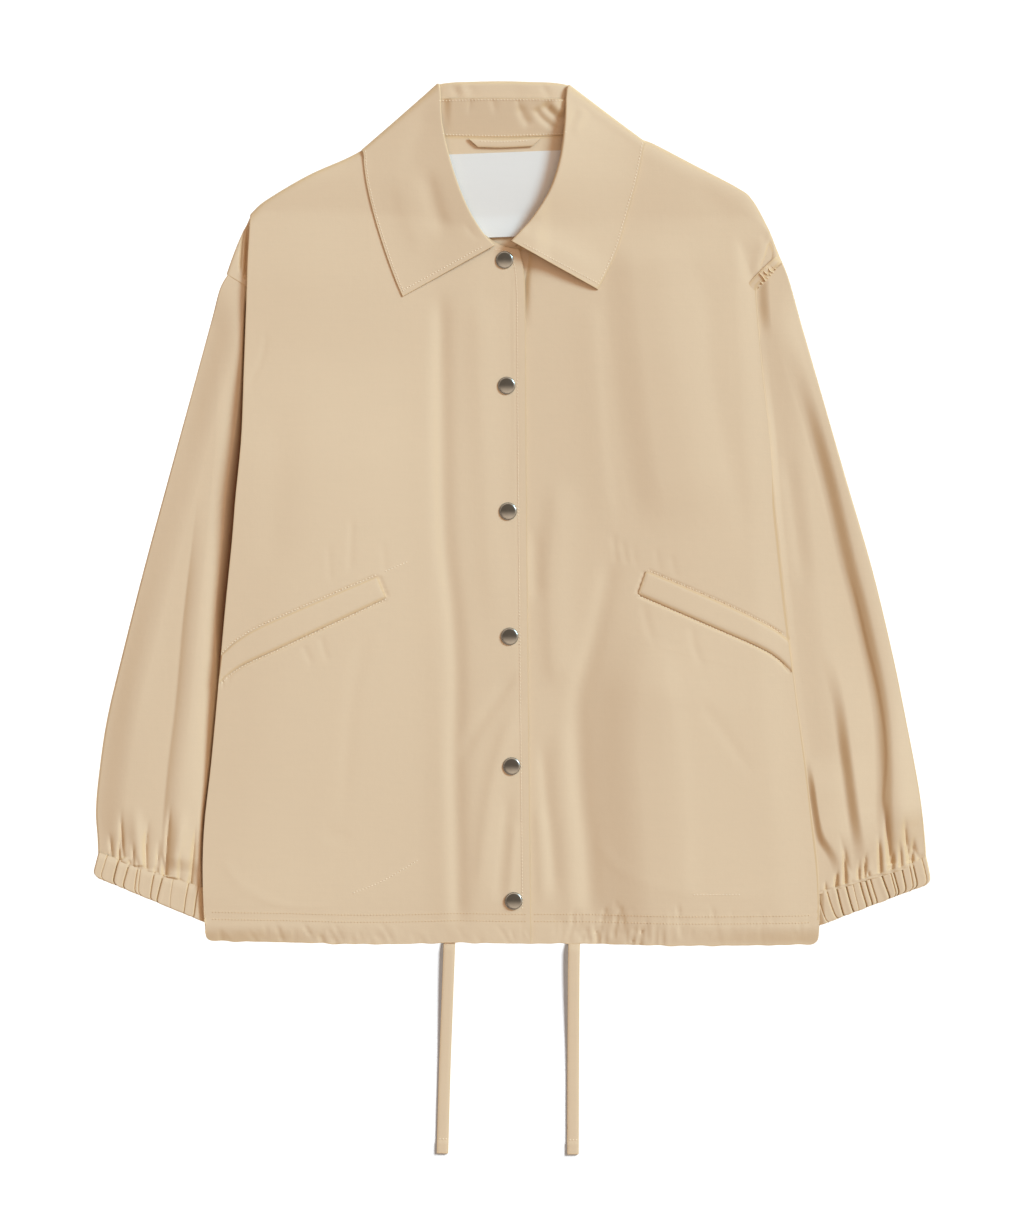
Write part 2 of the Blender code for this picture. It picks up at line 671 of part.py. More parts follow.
def beside(path, distance):
    """Line beside a path."""
    line = spline(path, 5)
    result = []
    for k, p in enumerate(line):
        tangent = (line[min(len(line) - 1, k + 1)] - line[max(0, k - 1)]).normalized()
        result.append(p + Vector((-tangent.y, tangent.x)) * distance)
    return result


def snap(name, tree, spot):
    """Domed metal cap on the right front."""
    around = 20
    touch = [on_panel(tree, Spot(spot.x + SNAP_RADIUS * math.cos(a), spot.y + SNAP_RADIUS * math.sin(a)), 0).z
             for a in (2 * math.pi * k / 12 for k in range(12))]
    base = max(touch + [on_panel(tree, spot, 0).z]) + GAP
    profile = [(0.94, 0.0), (1.0, 0.35), (0.9, 0.75), (0.55, 0.95)]
    points, faces = [], []
    for radius, height in profile:
        for k in range(around):
            a = 2 * math.pi * k / around
            points.append(Vector((spot.x + SNAP_RADIUS * radius * math.cos(a),
                                  spot.y + SNAP_RADIUS * radius * math.sin(a), base + SNAP_HEIGHT * height)))
    points.append(Vector((spot.x, spot.y, base + SNAP_HEIGHT)))
    for r in range(len(profile) - 1):
        for k in range(around):
            d = (k + 1) % around
            faces.append((r * around + k, r * around + d, (r + 1) * around + d, (r + 1) * around + k))
    top = (len(profile) - 1) * around
    for k in range(around):
        faces.append((top + k, top + (k + 1) % around, len(points) - 1))
    faces.append(tuple(reversed(range(around))))
    finish(name, points, faces, NICKEL)


def drawstring(name, path):
    """Flat tape from the hem, lying on the table."""
    left, right = beside(path, TAPE_WIDTH / 2), beside(path, -TAPE_WIDTH / 2)
    top_y = left[0].y
    upper, lower = [], []
    for a, b in zip(left, right):
        height = 1.4 * (1 - ramp(top_y - a.y, 4, 40))
        lower.append([Vector((p.x, p.y, height)) for p in (a, b)])
        upper.append([Vector((p.x, p.y, height + TAPE_CLOTH)) for p in (a, b)])
    wall(name, upper, lower, COTTON)


def clear():
    """Remove whatever the scene holds."""
    for thing in list(bpy.data.objects):
        bpy.data.objects.remove(thing, do_unlink=True)


def build():
    """Make every piece of the jacket."""
    back_tree = ground(back("back"))
    right_tree = ground(front("front_right", -1, PLACKET, NECK_RIGHT, SHOULDER_RIGHT))
    left_tree = ground(front("front_left", 1, UNDERLAP, NECK_LEFT, SHOULDER_LEFT))
    sleeve("sleeve_right", -1, SLEEVE_RIGHT)
    sleeve("sleeve_left", 1, SLEEVE_LEFT)
    cuff("cuff_right", CUFF_RIGHT)
    cuff("cuff_left", CUFF_LEFT)
    collar_fall("collar_fall")
    collar_stand("collar_stand")
    strip("pocket_welt_right", right_tree, *map(spline, WELT_RIGHT), 22, 3, CLOTH, COTTON)
    strip("pocket_welt_left", left_tree, *map(spline, WELT_LEFT), 22, 3, CLOTH, COTTON)
    strip("neck_label", back_tree, *map(spline, LABEL), 10, 7, LABEL_CLOTH, WHITE_CLOTH)
    strip("hanger_loop", back_tree, beside(LOOP_PATH, LOOP_WIDTH / 2), beside(LOOP_PATH, -LOOP_WIDTH / 2),
          16, 1, LOOP_CLOTH, COTTON)
    for number, spot in enumerate(SNAPS, 1):
        snap(f"snap_{number}", right_tree, spot)
    drawstring("drawstring_right", TAPE_RIGHT)
    drawstring("drawstring_left", TAPE_LEFT)


clear()
build()
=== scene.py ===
import math
from collections import namedtuple

import bmesh
import bpy
import numpy as np
from bpy.props import FloatProperty, FloatVectorProperty, PointerProperty
from mathutils import Matrix, Vector
from mathutils.bvhtree import BVHTree


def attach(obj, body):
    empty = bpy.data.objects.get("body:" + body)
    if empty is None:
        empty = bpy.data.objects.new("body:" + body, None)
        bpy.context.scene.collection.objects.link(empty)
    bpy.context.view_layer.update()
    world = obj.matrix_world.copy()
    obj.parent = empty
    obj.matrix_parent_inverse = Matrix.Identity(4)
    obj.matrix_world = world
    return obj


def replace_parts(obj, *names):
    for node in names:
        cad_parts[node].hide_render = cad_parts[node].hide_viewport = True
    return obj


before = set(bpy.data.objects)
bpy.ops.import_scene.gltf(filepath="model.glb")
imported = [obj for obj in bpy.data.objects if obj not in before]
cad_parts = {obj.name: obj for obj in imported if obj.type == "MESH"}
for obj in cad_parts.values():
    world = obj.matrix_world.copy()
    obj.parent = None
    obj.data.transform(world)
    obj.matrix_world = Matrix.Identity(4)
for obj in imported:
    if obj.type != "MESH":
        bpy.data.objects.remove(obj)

bl_info = {
    "name": "Snap-front jacket, laid flat",
    "version": (1, 0, 0),
    "blender": (4, 5, 0),
    "location": "View3D > Sidebar > Jacket",
    "description": "Cloth, trims and stage of a cotton jacket laid out on a white surface",
    "category": "Object",
}

# Tables are in millimetres: +Y points to the collar, -X is the wearer's right
MM = 0.001
CAD_WALL = 1.2          # wall of one layer of cloth in the solids
SHEET_WALL = 0.9        # thickness of a shell of body cloth
TUBE_WALL = 0.5         # thickness of a shell of a sleeve or a cuff
SEAM_GAP = 0.3          # space between neighbouring pieces
RESTING = 0.05          # height of the lowest cloth over the surface
TUCKED = 4.0            # height of a sleeve where it lies under the body
NECK_LIFT = 2.5         # height of the back panel over the turned-down collar
BACK_INSET = 3.2        # how far the back panel stays inside the outline
FRONT_SLOPE = 185.0     # width in which the fronts fall from the sides to the middle
BACK_SLOPE = 39.0       # the same of the back panel
SHOULDER_STRIP = 5.0    # height of the left shoulder at its armhole seam
PANEL = (262.0, 575.0)  # rough width and height of a front panel
SLEEVE_NOSE = 1.2       # height of the middle of a sleeve's rolled edge
CUFF_NOSE = 1.6         # the same of a cuff
SLEEVE_COLUMNS = 136    # points across the upper side of a sleeve
CUFF_COLUMNS = 380      # the same of a cuff
COLLAR_STEPS = 8        # points from one collar section to the next
LEAF_COLUMN = 24        # first point across the collar that is past its roll
OVERHEAD = 100.0        # height from which points are dropped onto a surface
CRISP_EDGE = math.radians(48)  # faces that meet at more than this have a crisp edge

# Painted shade: factors on the cotton's colour that make it darker and warmer on steep folds and in the
# slot beside the right side fold
FOLD_PAINTED_SHADE = (0.97, 0.92, 0.80)
SLOT_PAINTED_SHADE = (0.26, 0.13, 0.07)

# Stage
FLOOR_SIZE = 30.0       # metres
FLOOR_HEIGHT = -0.0004  # metres, just under the cloth
KEY_COLOUR = (0.64, 1.0, 1.22)
WRAP_COLOUR = (1.23, 0.955, 0.73)
FILL_COLOUR = (1.33, 0.945, 0.75)
WRAP_ANGLE = math.radians(100)
WRAP_HEIGHT = math.radians(68)

# Side folds of the body: x of the wearer's right and left edge at a height y
Edge = namedtuple("Edge", "y right left")
BODY_EDGE = [
    Edge(-357.0, -255.4, 256.2),
    Edge(-343.0, -257.9, 258.2),
    Edge(-297.0, -259.6, 256.8),
    Edge(-258.0, -257.9, 252.4),
    Edge(-214.0, -252.8, 247.2),
    Edge(-157.0, -247.3, 239.2),
    Edge(-79.0, -240.2, 230.0),
    Edge(-22.0, -234.4, 223.9),
    Edge(11.0, -231.8, 220.5),
    Edge(61.0, -227.0, 216.7),
    Edge(120.0, -225.0, 210.4),
    Edge(190.0, -222.6, 205.2),
    Edge(210.0, -222.1, 207.4),
    Edge(236.0, -220.6, 212.0),
    Edge(250.0, -219.9, 214.0),
]

# How far a sleeve lies under the body at a height y, and how high the side folds lie there
Tuck = namedtuple("Tuck", "y depth right left")
TUCK = [
    Tuck(-346.0, 4.0, 4.6, 4.4),
    Tuck(-316.0, 5.0, 4.8, 4.4),
    Tuck(-288.0, 9.0, 4.8, 4.4),
    Tuck(-241.0, 17.0, 5.4, 4.4),
    Tuck(-186.0, 22.0, 7.4, 4.4),
    Tuck(-115.0, 28.0, 9.8, 4.4),
    Tuck(-40.0, 33.0, 12.2, 4.4),
    Tuck(36.0, 37.0, 12.4, 4.4),
    Tuck(90.0, 38.5, 8.8, 4.4),
    Tuck(130.0, 39.0, 6.0, 4.2),
    Tuck(160.0, 39.0, 5.4, 3.4),
    Tuck(190.0, 38.0, 5.2, 2.6),
]

# Outline curves, each a short run of x, y
Spot = namedtuple("Spot", "x y")
HEM = [Spot(-257.2, -347.0), Spot(-257.0, -353.6), Spot(-255.6, -357.2), Spot(-251.8, -358.9),
       Spot(-240, -359.4), Spot(-186, -360.4), Spot(-140, -361.7), Spot(-94, -361.7), Spot(-44, -360.6),
       Spot(0, -361.2), Spot(74, -361.6), Spot(144, -363.0), Spot(240, -362.5), Spot(251.8, -361.7),
       Spot(255.3, -360.0), Spot(257.2, -356.6), Spot(257.9, -348.4)]
PLACKET = [Spot(16, -361.3), Spot(13.4, -107), Spot(11.8, 61), Spot(11.3, 162), Spot(10.1, 200),
           Spot(5.9, 220.9)]
UNDERLAP = [Spot(-14, -361.3), Spot(-15, 0), Spot(-16, 219.2)]
NECK_RIGHT = [Spot(5.9, 220.9), Spot(-14.3, 227), Spot(-39.5, 250), Spot(-60.5, 285), Spot(-79, 316)]
NECK_LEFT = [Spot(-16, 219.2), Spot(0, 221), Spot(15, 235), Spot(36, 258.7), Spot(52, 288), Spot(65.5, 318)]
NECK_BACK = [Spot(-79, 316), Spot(-55, 315.8), Spot(-8.4, 315), Spot(42.8, 316.5), Spot(65.5, 318)]
SHOULDER_RIGHT = [Spot(-79, 316), Spot(-108, 313), Spot(-126, 304.2), Spot(-140, 297), Spot(-171.4, 283.1),
                  Spot(-205.8, 262.9), Spot(-217.6, 252.8), Spot(-219.9, 249.6)]
TIP_INNER = [Spot(-212.0, 251.0), Spot(-214.0, 236.0), Spot(-215.0, 210.0), Spot(-215.0, 185.2)]
SHOULDER_TIP = [Spot(-218.6, 251.0), Spot(-222.4, 242.4), Spot(-226.8, 234.0), Spot(-233.2, 218.4),
                Spot(-239.4, 200.4)]
SHOULDER_LEFT = [Spot(65.5, 318), Spot(92, 317), Spot(113, 312), Spot(128, 305), Spot(150.4, 293.2),
                 Spot(189, 273), Spot(201.6, 262.9), Spot(214.2, 240.8), Spot(221.8, 222.6),
                 Spot(226.6, 210.4)]

# Heights between which the side folds are drawn
SIDE_RIGHT = (-347.0, 246.0)
SIDE_LEFT = (-348.4, 190.0)

# Armhole seams: a point of the line, and the direction away from it down the sleeve
Seam = namedtuple("Seam", "x y down_x down_y")
SEAM_RIGHT = Seam(-222.6, 190.0, -0.527, -0.850)
SEAM_LEFT = Seam(205.2, 190.0, 0.666, -0.746)

# Sleeve sections from armhole to cuff: outer end, y of the inner end and loft
Station = namedtuple("Station", "outer_x outer_y inner_y loft")
SLEEVE_RIGHT = [
    Station(-234.0, 206.0, 178.0, 1.8),
    Station(-244.5, 190.0, 160.0, 1.9),
    Station(-252.4, 161.0, 125.0, 2.0),
    Station(-269.0, 100.0, 66.0, 2.2),
    Station(-289.0, 27.0, 0.0, 2.4),
    Station(-309.0, -47.0, -68.0, 2.6),
    Station(-327.5, -120.0, -136.0, 2.8),
    Station(-340.2, -174.0, -188.0, 3.2),
    Station(-346.9, -220.0, -238.0, 3.6),
    Station(-349.4, -250.0, -272.0, 3.2),
    Station(-348.0, -273.0, -300.0, 2.0),
    Station(-347.4, -289.4, -319.0, 1.2),
]
SLEEVE_LEFT = [
    Station(225.4, 214.0, 179.0, 1.8),
    Station(232.6, 196.0, 160.0, 1.9),
    Station(243.5, 157.0, 122.0, 2.0),
    Station(260.0, 100.0, 66.0, 2.2),
    Station(281.0, 27.0, -1.0, 2.4),
    Station(302.5, -47.0, -70.0, 2.0),
    Station(320.0, -120.0, -138.0, 1.6),
    Station(331.0, -174.0, -190.0, 1.6),
    Station(340.2, -222.0, -240.0, 1.6),
    Station(344.4, -250.0, -275.0, 1.4),
    Station(347.0, -275.0, -303.0, 1.0),
    Station(348.2, -293.4, -321.4, 0.8),
]

# Cuff bands: outer and inner ends of rows from the seam to the lower edge
Cuff = namedtuple("Cuff", "outer_x outer_y inner_x inner_y")
CUFF_RIGHT = [Cuff(-347.0, -284.4, -254.5, -315.6), Cuff(-349.6, -294.0, -255.0, -330.0),
              Cuff(-351.1, -301.8, -254.2, -341.8), Cuff(-347.6, -306.4, -254.0, -345.2)]
CUFF_LEFT = [Cuff(347.9, -288.4, 252.5, -317.9), Cuff(350.2, -299.0, 253.0, -333.0),
             Cuff(351.2, -307.8, 253.3, -344.8), Cuff(347.6, -312.4, 253.4, -348.2)]
CUFF_HEIGHT = 5.6  # between the pleats

# Pleats of the cuffs: place across the band at its seam and at its edge, from the outer end, and depth
Pleat = namedtuple("Pleat", "seam edge depth")
PLEATS_RIGHT = [
    Pleat(0.08, 0.06, 0.3), Pleat(0.183, 0.168, 1.2), Pleat(0.282, 0.245, 0.8), Pleat(0.36, 0.355, 0.45),
    Pleat(0.385, 0.392, 0.3), Pleat(0.51, 0.483, 0.65), Pleat(0.59, 0.53, 0.9), Pleat(0.68, 0.65, 0.2),
    Pleat(0.82, 0.765, 0.4), Pleat(0.91, 0.85, 0.7),
]
PLEATS_LEFT = [
    Pleat(0.045, 0.03, 0.35), Pleat(0.13, 0.112, 1.2), Pleat(0.16, 0.15, 0.5), Pleat(0.228, 0.207, 1.2),
    Pleat(0.305, 0.26, 1.4), Pleat(0.33, 0.285, 0.6), Pleat(0.41, 0.33, 1.6), Pleat(0.51, 0.44, 0.9),
    Pleat(0.55, 0.482, 1.4), Pleat(0.60, 0.53, 1.1), Pleat(0.66, 0.60, 0.25), Pleat(0.72, 0.645, 1.5),
    Pleat(0.80, 0.73, 1.6), Pleat(0.89, 0.78, 0.6), Pleat(0.97, 0.865, 0.4), Pleat(0.99, 0.945, 0.7),
]

# Collar sections from the right front round the neck to the left front.
# turn: 0 lies on the fronts, 1 lies under the back; spring: air under the leaf at its roll, lost
# towards the edge, late if bend is small
Section = namedtuple("Section", "roll_x roll_y edge_x edge_y turn roll spring inner bend", defaults=(1.3,))
COLLAR = [
    Section(-14.3, 224.3, -91.6, 181.4, 0.00, 0.7, 3.0, 2.0),
    Section(-24.0, 234.5, -98.0, 196.5, 0.00, 0.7, 3.2, 3.0),
    Section(-36.0, 254.0, -106.5, 220.0, 0.00, 0.7, 3.2, 3.0),
    Section(-46.0, 278.0, -115.0, 247.5, 0.00, 0.7, 3.2, 3.0),
    Section(-53.8, 304.0, -121.0, 272.0, 0.00, 0.7, 3.2, 3.0),
    Section(-58.5, 328.0, -123.8, 290.0, 0.00, 0.7, 3.2, 3.0),
    Section(-59.6, 349.0, -124.2, 299.0, 0.00, 0.7, 3.4, 3.0),
    Section(-58.6, 356.0, -123.8, 301.4, 0.20, 0.8, 3.0, 3.0),
    Section(-58.6, 356.0, -123.8, 301.4, 0.50, 1.0, 3.0, 3.0),
    Section(-58.6, 356.0, -123.8, 301.4, 0.80, 1.2, 3.0, 3.0),
    Section(-61.0, 359.6, -119.0, 298.0, 1.00, 2.0, 3.0, 12.0),
    Section(-50.0, 361.3, -94.0, 291.0, 1.00, 3.0, 3.0, 15.0),
    Section(-36.0, 361.8, -60.0, 290.0, 1.00, 3.5, 3.0, 14.0),
    Section(-8.4, 362.3, -8.4, 290.0, 1.00, 3.5, 3.0, 14.0),
    Section(20.0, 361.6, 44.0, 290.0, 1.00, 3.5, 3.0, 14.0),
    Section(35.0, 361.0, 80.0, 292.0, 1.00, 3.0, 3.0, 15.0),
    Section(47.0, 358.8, 105.0, 303.0, 1.00, 2.0, 3.0, 12.0),
    Section(44.6, 354.8, 109.8, 307.9, 0.80, 1.2, 3.0, 3.0),
    Section(44.6, 354.8, 109.8, 307.9, 0.50, 1.0, 3.0, 3.0),
    Section(44.6, 354.8, 109.8, 307.9, 0.20, 1.0, 3.4, 3.0),
    Section(44.8, 347.0, 109.6, 303.0, 0.00, 1.2, 4.2, 3.0),
    Section(43.6, 325.0, 108.0, 294.0, 0.00, 1.6, 7.0, 3.0),
    Section(39.5, 296.0, 104.0, 276.0, 0.00, 1.8, 8.6, 3.0),
    Section(31.0, 270.0, 97.4, 252.8, 0.00, 1.8, 8.6, 3.0),
    Section(17.5, 248.0, 88.6, 222.0, 0.00, 1.6, 8.2, 3.0),
    Section(6.0, 235.0, 79.5, 201.5, 0.00, 1.4, 9.4, 3.0, 0.8),
    Section(-0.8, 227.6, 72.2, 187.3, 0.00, 1.2, 9.6, 2.0, 0.6),
]

# Collar stand across the back of the neck
STAND_LOW = [Spot(-60, 316.2), Spot(-8.4, 315.4), Spot(48, 317.2)]
STAND_HIGH = [Spot(-62, 347.2), Spot(-8.4, 347.4), Spot(50, 346.6)]
STAND_RISE = (2.9, 10.2)  # heights of its lower and upper edges

# Small pieces
WELT_RIGHT = ([Spot(-113, -53.5), Spot(-201.8, -92.1), Spot(-227.6, -106.3), Spot(-242.6, -119.2)],
              [Spot(-105.8, -70.9), Spot(-189, -110), Spot(-227.6, -128.1), Spot(-245.4, -142.6)])
WELT_LEFT = ([Spot(112.6, -49.1), Spot(176.8, -76.7), Spot(215.4, -95.8), Spot(232.0, -107.2)],
             [Spot(106.1, -67.7), Spot(163.8, -92.7), Spot(215.4, -115.9), Spot(234.9, -133.0)])
LABEL = ([Spot(-60, 300.2), Spot(48, 304.4)], [Spot(-57.5, 229.7), Spot(50.5, 233.9)])
LOOP = ([Spot(-36.4, 314.0), Spot(-8, 313.2), Spot(24.6, 314.8)],
        [Spot(-28.4, 306.8), Spot(-8, 306.4), Spot(17.0, 307.6)])
SNAPS = [Spot(-6.3, 212.1), Spot(-4.6, 106.7), Spot(-3.4, 1.3), Spot(-2.1, -103.7), Spot(-0.4, -212.5),
         Spot(1.3, -325.5)]
TAPE_RIGHT = [Spot(-52.4, -357.6), Spot(-53.4, -385), Spot(-56.4, -465), Spot(-58.4, -537.6)]
TAPE_LEFT = [Spot(52.3, -358.0), Spot(51.8, -385), Spot(51.4, -465), Spot(51.2, -538.4)]

# Creases: height, reach on the wearer's right (west) and left (east) of a path that runs
# towards the hem, share of the path in which each end fades, and the path.
# A soft one is round, a sharp one has a crisp line; a fold rises from its line over the
# width "west" and falls again over the width "east", and a swell does so without a line
Crease = namedtuple("Crease", "height west east fade_in fade_out path kind", defaults=("soft",))
FRONT_RIGHT_CREASES = [
    Crease(-1.5, 6.5, 8.0, 0.06, 0.05, ((-60, 191), (-59, 95), (-57, -14), (-50, -83), (-47, -140),
           (-48, -207), (-46, -283), (-45, -354))),
    Crease(0.3, 11.8, 7.6, 0.15, 0.10, ((-74, 179), (-73, 78), (-71, -39), (-64, -157), (-60, -283),
           (-58, -350))),
    Crease(0.7, 10.1, 13.4, 0.10, 0.20, ((-27, 187), (-25, 95), (-20, -6), (-15, -107))),
    Crease(-0.9, 6.7, 4.2, 0.25, 0.25, ((6, -130), (-14, -159), (-35, -191), (-42, -212))),
    Crease(0.9, 5.9, 8.4, 0.20, 0.30, ((8, -157), (-6, -189), (-18, -233), (-24, -283), (-29, -335))),
    Crease(-0.6, 4.2, 5.9, 0.20, 0.15, ((-3, -233), (-8, -283), (-12, -329))),
    Crease(0.5, 4.2, 4.2, 0.20, 0.10, ((3, -254), (0, -291), (-3, -338))),
    Crease(-0.3, 2.1, 2.5, 0.30, 0.20, ((-205, 154), (-210, 129), (-223, 102))),
    Crease(-0.3, 6.7, 6.7, 0.15, 0.40, ((-121, -95), (-133, -149), (-139, -216), (-143, -275))),
    Crease(0.2, 3.4, 4.2, 0.20, 0.20, ((-247, -283), (-228, -312), (-197, -328), (-163, -331),
           (-144, -324))),
    Crease(-0.3, 5.0, 5.0, 0.30, 0.30, ((-160, -269), (-144, -271), (-134, -273))),
    Crease(-0.3, 2.5, 3.4, 0.30, 0.20, ((-134, 1), (-135, -27), (-136, -52))),
    Crease(-0.2, 2.5, 2.5, 0.30, 0.20, ((-154, -23), (-153, -39), (-152, -60))),
    Crease(-0.2, 2.5, 2.5, 0.30, 0.20, ((-108, -23), (-107, -39), (-106, -53))),
    Crease(-0.3, 2.5, 2.5, 0.20, 0.40, ((-160, -102), (-158, -113), (-153, -127))),
    Crease(-0.3, 2.5, 2.5, 0.20, 0.40, ((-175, -110), (-171, -120), (-167, -130))),
    Crease(-0.5, 13.4, 18.5, 0.25, 0.30, ((-195, 95), (-197, 11), (-203, -65))),
]
FRONT_LEFT_CREASES = [
    Crease(-2.6, 6.0, 3.6, 0.05, 0.60, ((11, 224), (10, 200), (10, 175), (10, 145))),
    Crease(-2.6, 6.0, 9.5, 0.02, 0.85, ((12, 224), (11, 206), (11, 182))),
    Crease(2.2, 30.0, 60.0, 0.12, 0.20, ((70, 234), (76, 179), (85, 95), (95, 28), (105, -27)), "swell"),
    Crease(0.5, 13.4, 6.7, 0.10, 0.20, ((66, 179), (71, 95), (79, 11), (84, -23))),
    Crease(6.4, 54.0, 66.0, 0.26, 0.36, ((82, -39), (69, -90), (57, -140), (54, -191), (56, -241),
           (60, -291), (64, -346), (66, -470)), "swell"),
    Crease(-0.5, 10.1, 11.8, 0.20, 0.30, ((144, 229), (163, 179), (168, 113), (181, 51), (195, -6),
           (200, -56))),
    Crease(0.4, 16.8, 13.4, 0.20, 0.30, ((124, 246), (131, 154), (150, 53), (163, -39))),
    Crease(1.2, 9.2, 15.1, 0.20, 0.15, ((40, 36), (34, -39), (34, -98), (38, -153))),
    Crease(-0.7, 5.0, 6.7, 0.30, 0.30, ((18, -6), (19, -39), (20, -81))),
    Crease(-1.1, 7.6, 9.0, 0.10, 0.10, ((85, -27), (78, -65), (66, -115), (55, -153), (55, -195),
           (58, -241), (63, -283), (66, -346))),
    Crease(0.6, 7.6, 8.4, 0.15, 0.08, ((40, -170), (42, -224), (47, -283), (50, -350))),
    Crease(-0.8, 4.2, 5.9, 0.20, 0.20, ((25, -186), (28, -233), (33, -275), (37, -329))),
    Crease(0.5, 4.2, 5.0, 0.20, 0.20, ((21, -241), (24, -283), (26, -333))),
    Crease(0.5, 18.5, 10.1, 0.20, 0.10, ((116, -90), (131, -157), (141, -233), (144, -333))),
    Crease(-0.3, 4.2, 5.0, 0.25, 0.30, ((154, -155), (175, -181), (193, -207), (207, -226))),
    Crease(0.2, 4.2, 4.2, 0.15, 0.20, ((67, -268), (89, -297), (131, -316), (175, -320), (213, -319),
           (234, -305))),
    Crease(-0.3, 2.1, 2.1, 0.30, 0.20, ((84, -14), (86, -29), (88, -45))),
    Crease(-0.3, 2.1, 2.1, 0.30, 0.20, ((92, -21), (94, -33), (97, -45))),
    Crease(-0.2, 2.1, 2.1, 0.30, 0.20, ((102, -23), (102, -35), (105, -46))),
    Crease(-0.2, 2.1, 2.5, 0.30, 0.20, ((120, -27), (122, -39), (124, -51))),
    Crease(-0.2, 2.1, 2.5, 0.30, 0.20, ((134, -33), (135, -45), (139, -56))),
    Crease(-0.3, 3.4, 3.4, 0.20, 0.40, ((109, -73), (114, -95), (121, -115))),
    Crease(-0.3, 3.4, 3.4, 0.20, 0.40, ((150, -92), (153, -113), (162, -134))),
    Crease(0.3, 25.2, 21.0, 0.25, 0.30, ((192, -107), (204, -191), (213, -283))),
    Crease(-4.0, 1.5, 4.2, 0.35, 0.05, ((218, 233), (215, 217), (211, 204)), "sharp"),
    Crease(0.6, 4.0, 4.0, 0.30, 0.20, ((212, 233), (208, 217), (203, 200))),
    Crease(-0.5, 5.0, 6.7, 0.30, 0.30, ((193, 234), (197, 211), (202, 187))),
    Crease(-0.3, 10.1, 10.1, 0.30, 0.30, ((150, 280), (168, 263), (187, 242))),
]
SLEEVE_RIGHT_CREASES = [
    Crease(2.6, 13.0, 24.0, 0.30, 0.04, ((-262, 28), (-270, -39), (-276, -90), (-282, -157), (-288, -207),
           (-292, -249), (-294, -279), (-296, -300)), "fold"),
    Crease(0.9, 15.0, 15.0, 0.20, 0.30, ((-270, 95), (-296, -23), (-317, -140), (-329, -224))),
    Crease(-2.0, 1.6, 2.2, 0.55, 0.02, ((-328, -245), (-328, -266), (-326, -290)), "sharp"),
    Crease(-1.4, 1.5, 2.0, 0.55, 0.02, ((-338, -266), (-337, -279), (-336, -290)), "sharp"),
    Crease(-2.0, 1.6, 2.2, 0.55, 0.02, ((-304, -254), (-307, -275), (-307, -300)), "sharp"),
    Crease(-1.4, 1.5, 2.0, 0.55, 0.02, ((-296, -270), (-297, -287), (-298, -303)), "sharp"),
    Crease(-2.2, 1.6, 2.6, 0.45, 0.02, ((-286, -241), (-289, -270), (-291, -305)), "sharp"),
    Crease(-1.2, 1.5, 2.0, 0.55, 0.02, ((-276, -279), (-278, -291), (-279, -310)), "sharp"),
    Crease(-2.0, 1.6, 2.2, 0.55, 0.02, ((-265, -258), (-267, -283), (-270, -313)), "sharp"),
    Crease(-1.3, 1.5, 2.0, 0.55, 0.02, ((-318, -273), (-318, -283), (-318, -297)), "sharp"),
    Crease(1.2, 5.0, 5.0, 0.50, 0.02, ((-316, -241), (-315, -266), (-313, -297))),
    Crease(1.2, 5.0, 5.0, 0.50, 0.02, ((-276, -241), (-279, -275), (-284, -307))),
]
SLEEVE_LEFT_CREASES = [
    Crease(4.6, 16.0, 90.0, 0.30, 0.12, ((217, 160), (238, 95), (257, 28), (273, -40), (286, -90),
           (300, -157), (304, -207), (304, -252), (307, -275), (313, -298)), "swell"),
    Crease(-3.4, 40.0, 11.0, 0.25, 0.10, ((222, 158), (242, 95), (261, 28), (277, -40), (290, -90),
           (304, -157), (308, -207), (310, -252), (314, -290))),
    Crease(0.6, 2.4, 16.0, 0.25, 0.08, ((278, -39), (288, -73), (296, -107), (304, -140), (310, -174),
           (312, -207), (310, -241), (312, -266), (316, -290)), "swell"),
    Crease(5.8, 12.0, 60.0, 0.56, 0.26, ((254, -110), (267, -157), (274, -207), (281, -258),
           (288, -303)), "swell"),
    Crease(3.8, 9.0, 36.0, 0.30, 0.36, ((240, -204), (245, -228), (248, -248), (254, -273), (265, -291),
           (272, -312)), "swell"),
    Crease(-3.2, 1.6, 2.2, 0.60, 0.02, ((311, -236), (314, -266), (318, -295)), "sharp"),
    Crease(-2.4, 1.5, 2.2, 0.60, 0.02, ((329, -250), (330, -273), (334, -293)), "sharp"),
    Crease(-1.4, 1.5, 2.2, 0.60, 0.02, ((336, -273), (338, -283), (342, -291)), "sharp"),
    Crease(-0.8, 6.0, 8.0, 0.30, 0.30, ((229, 61), (238, -6), (247, -73))),
    Crease(-1.0, 2.0, 2.6, 0.50, 0.20, ((274, -266), (278, -283), (285, -305)), "sharp"),
]
STAND_CREASES = [
    Crease(-0.6, 1.6, 2.2, 0.05, 0.70, ((-35, 347), (-36, 340), (-37, 332)), "sharp"),
    Crease(-0.4, 2.6, 3.0, 0.05, 0.70, ((-17, 347), (-15, 340), (-14, 331))),
    Crease(-0.6, 1.6, 2.2, 0.05, 0.70, ((4, 347), (6, 340), (8, 332)), "sharp"),
    Crease(-1.0, 3.4, 4.2, 0.30, 0.30, ((6, 343), (9, 333), (16, 323))),
    Crease(-1.3, 2.6, 4.0, 0.20, 0.30, ((18, 341), (24, 332), (34, 324), (42, 320))),
    Crease(0.9, 3.6, 3.6, 0.20, 0.30, ((33, 344), (38, 339), (45, 335))),
    Crease(-1.7, 2.8, 4.6, 0.20, 0.20, ((25, 344), (31, 337), (39, 331), (46, 328))),
]
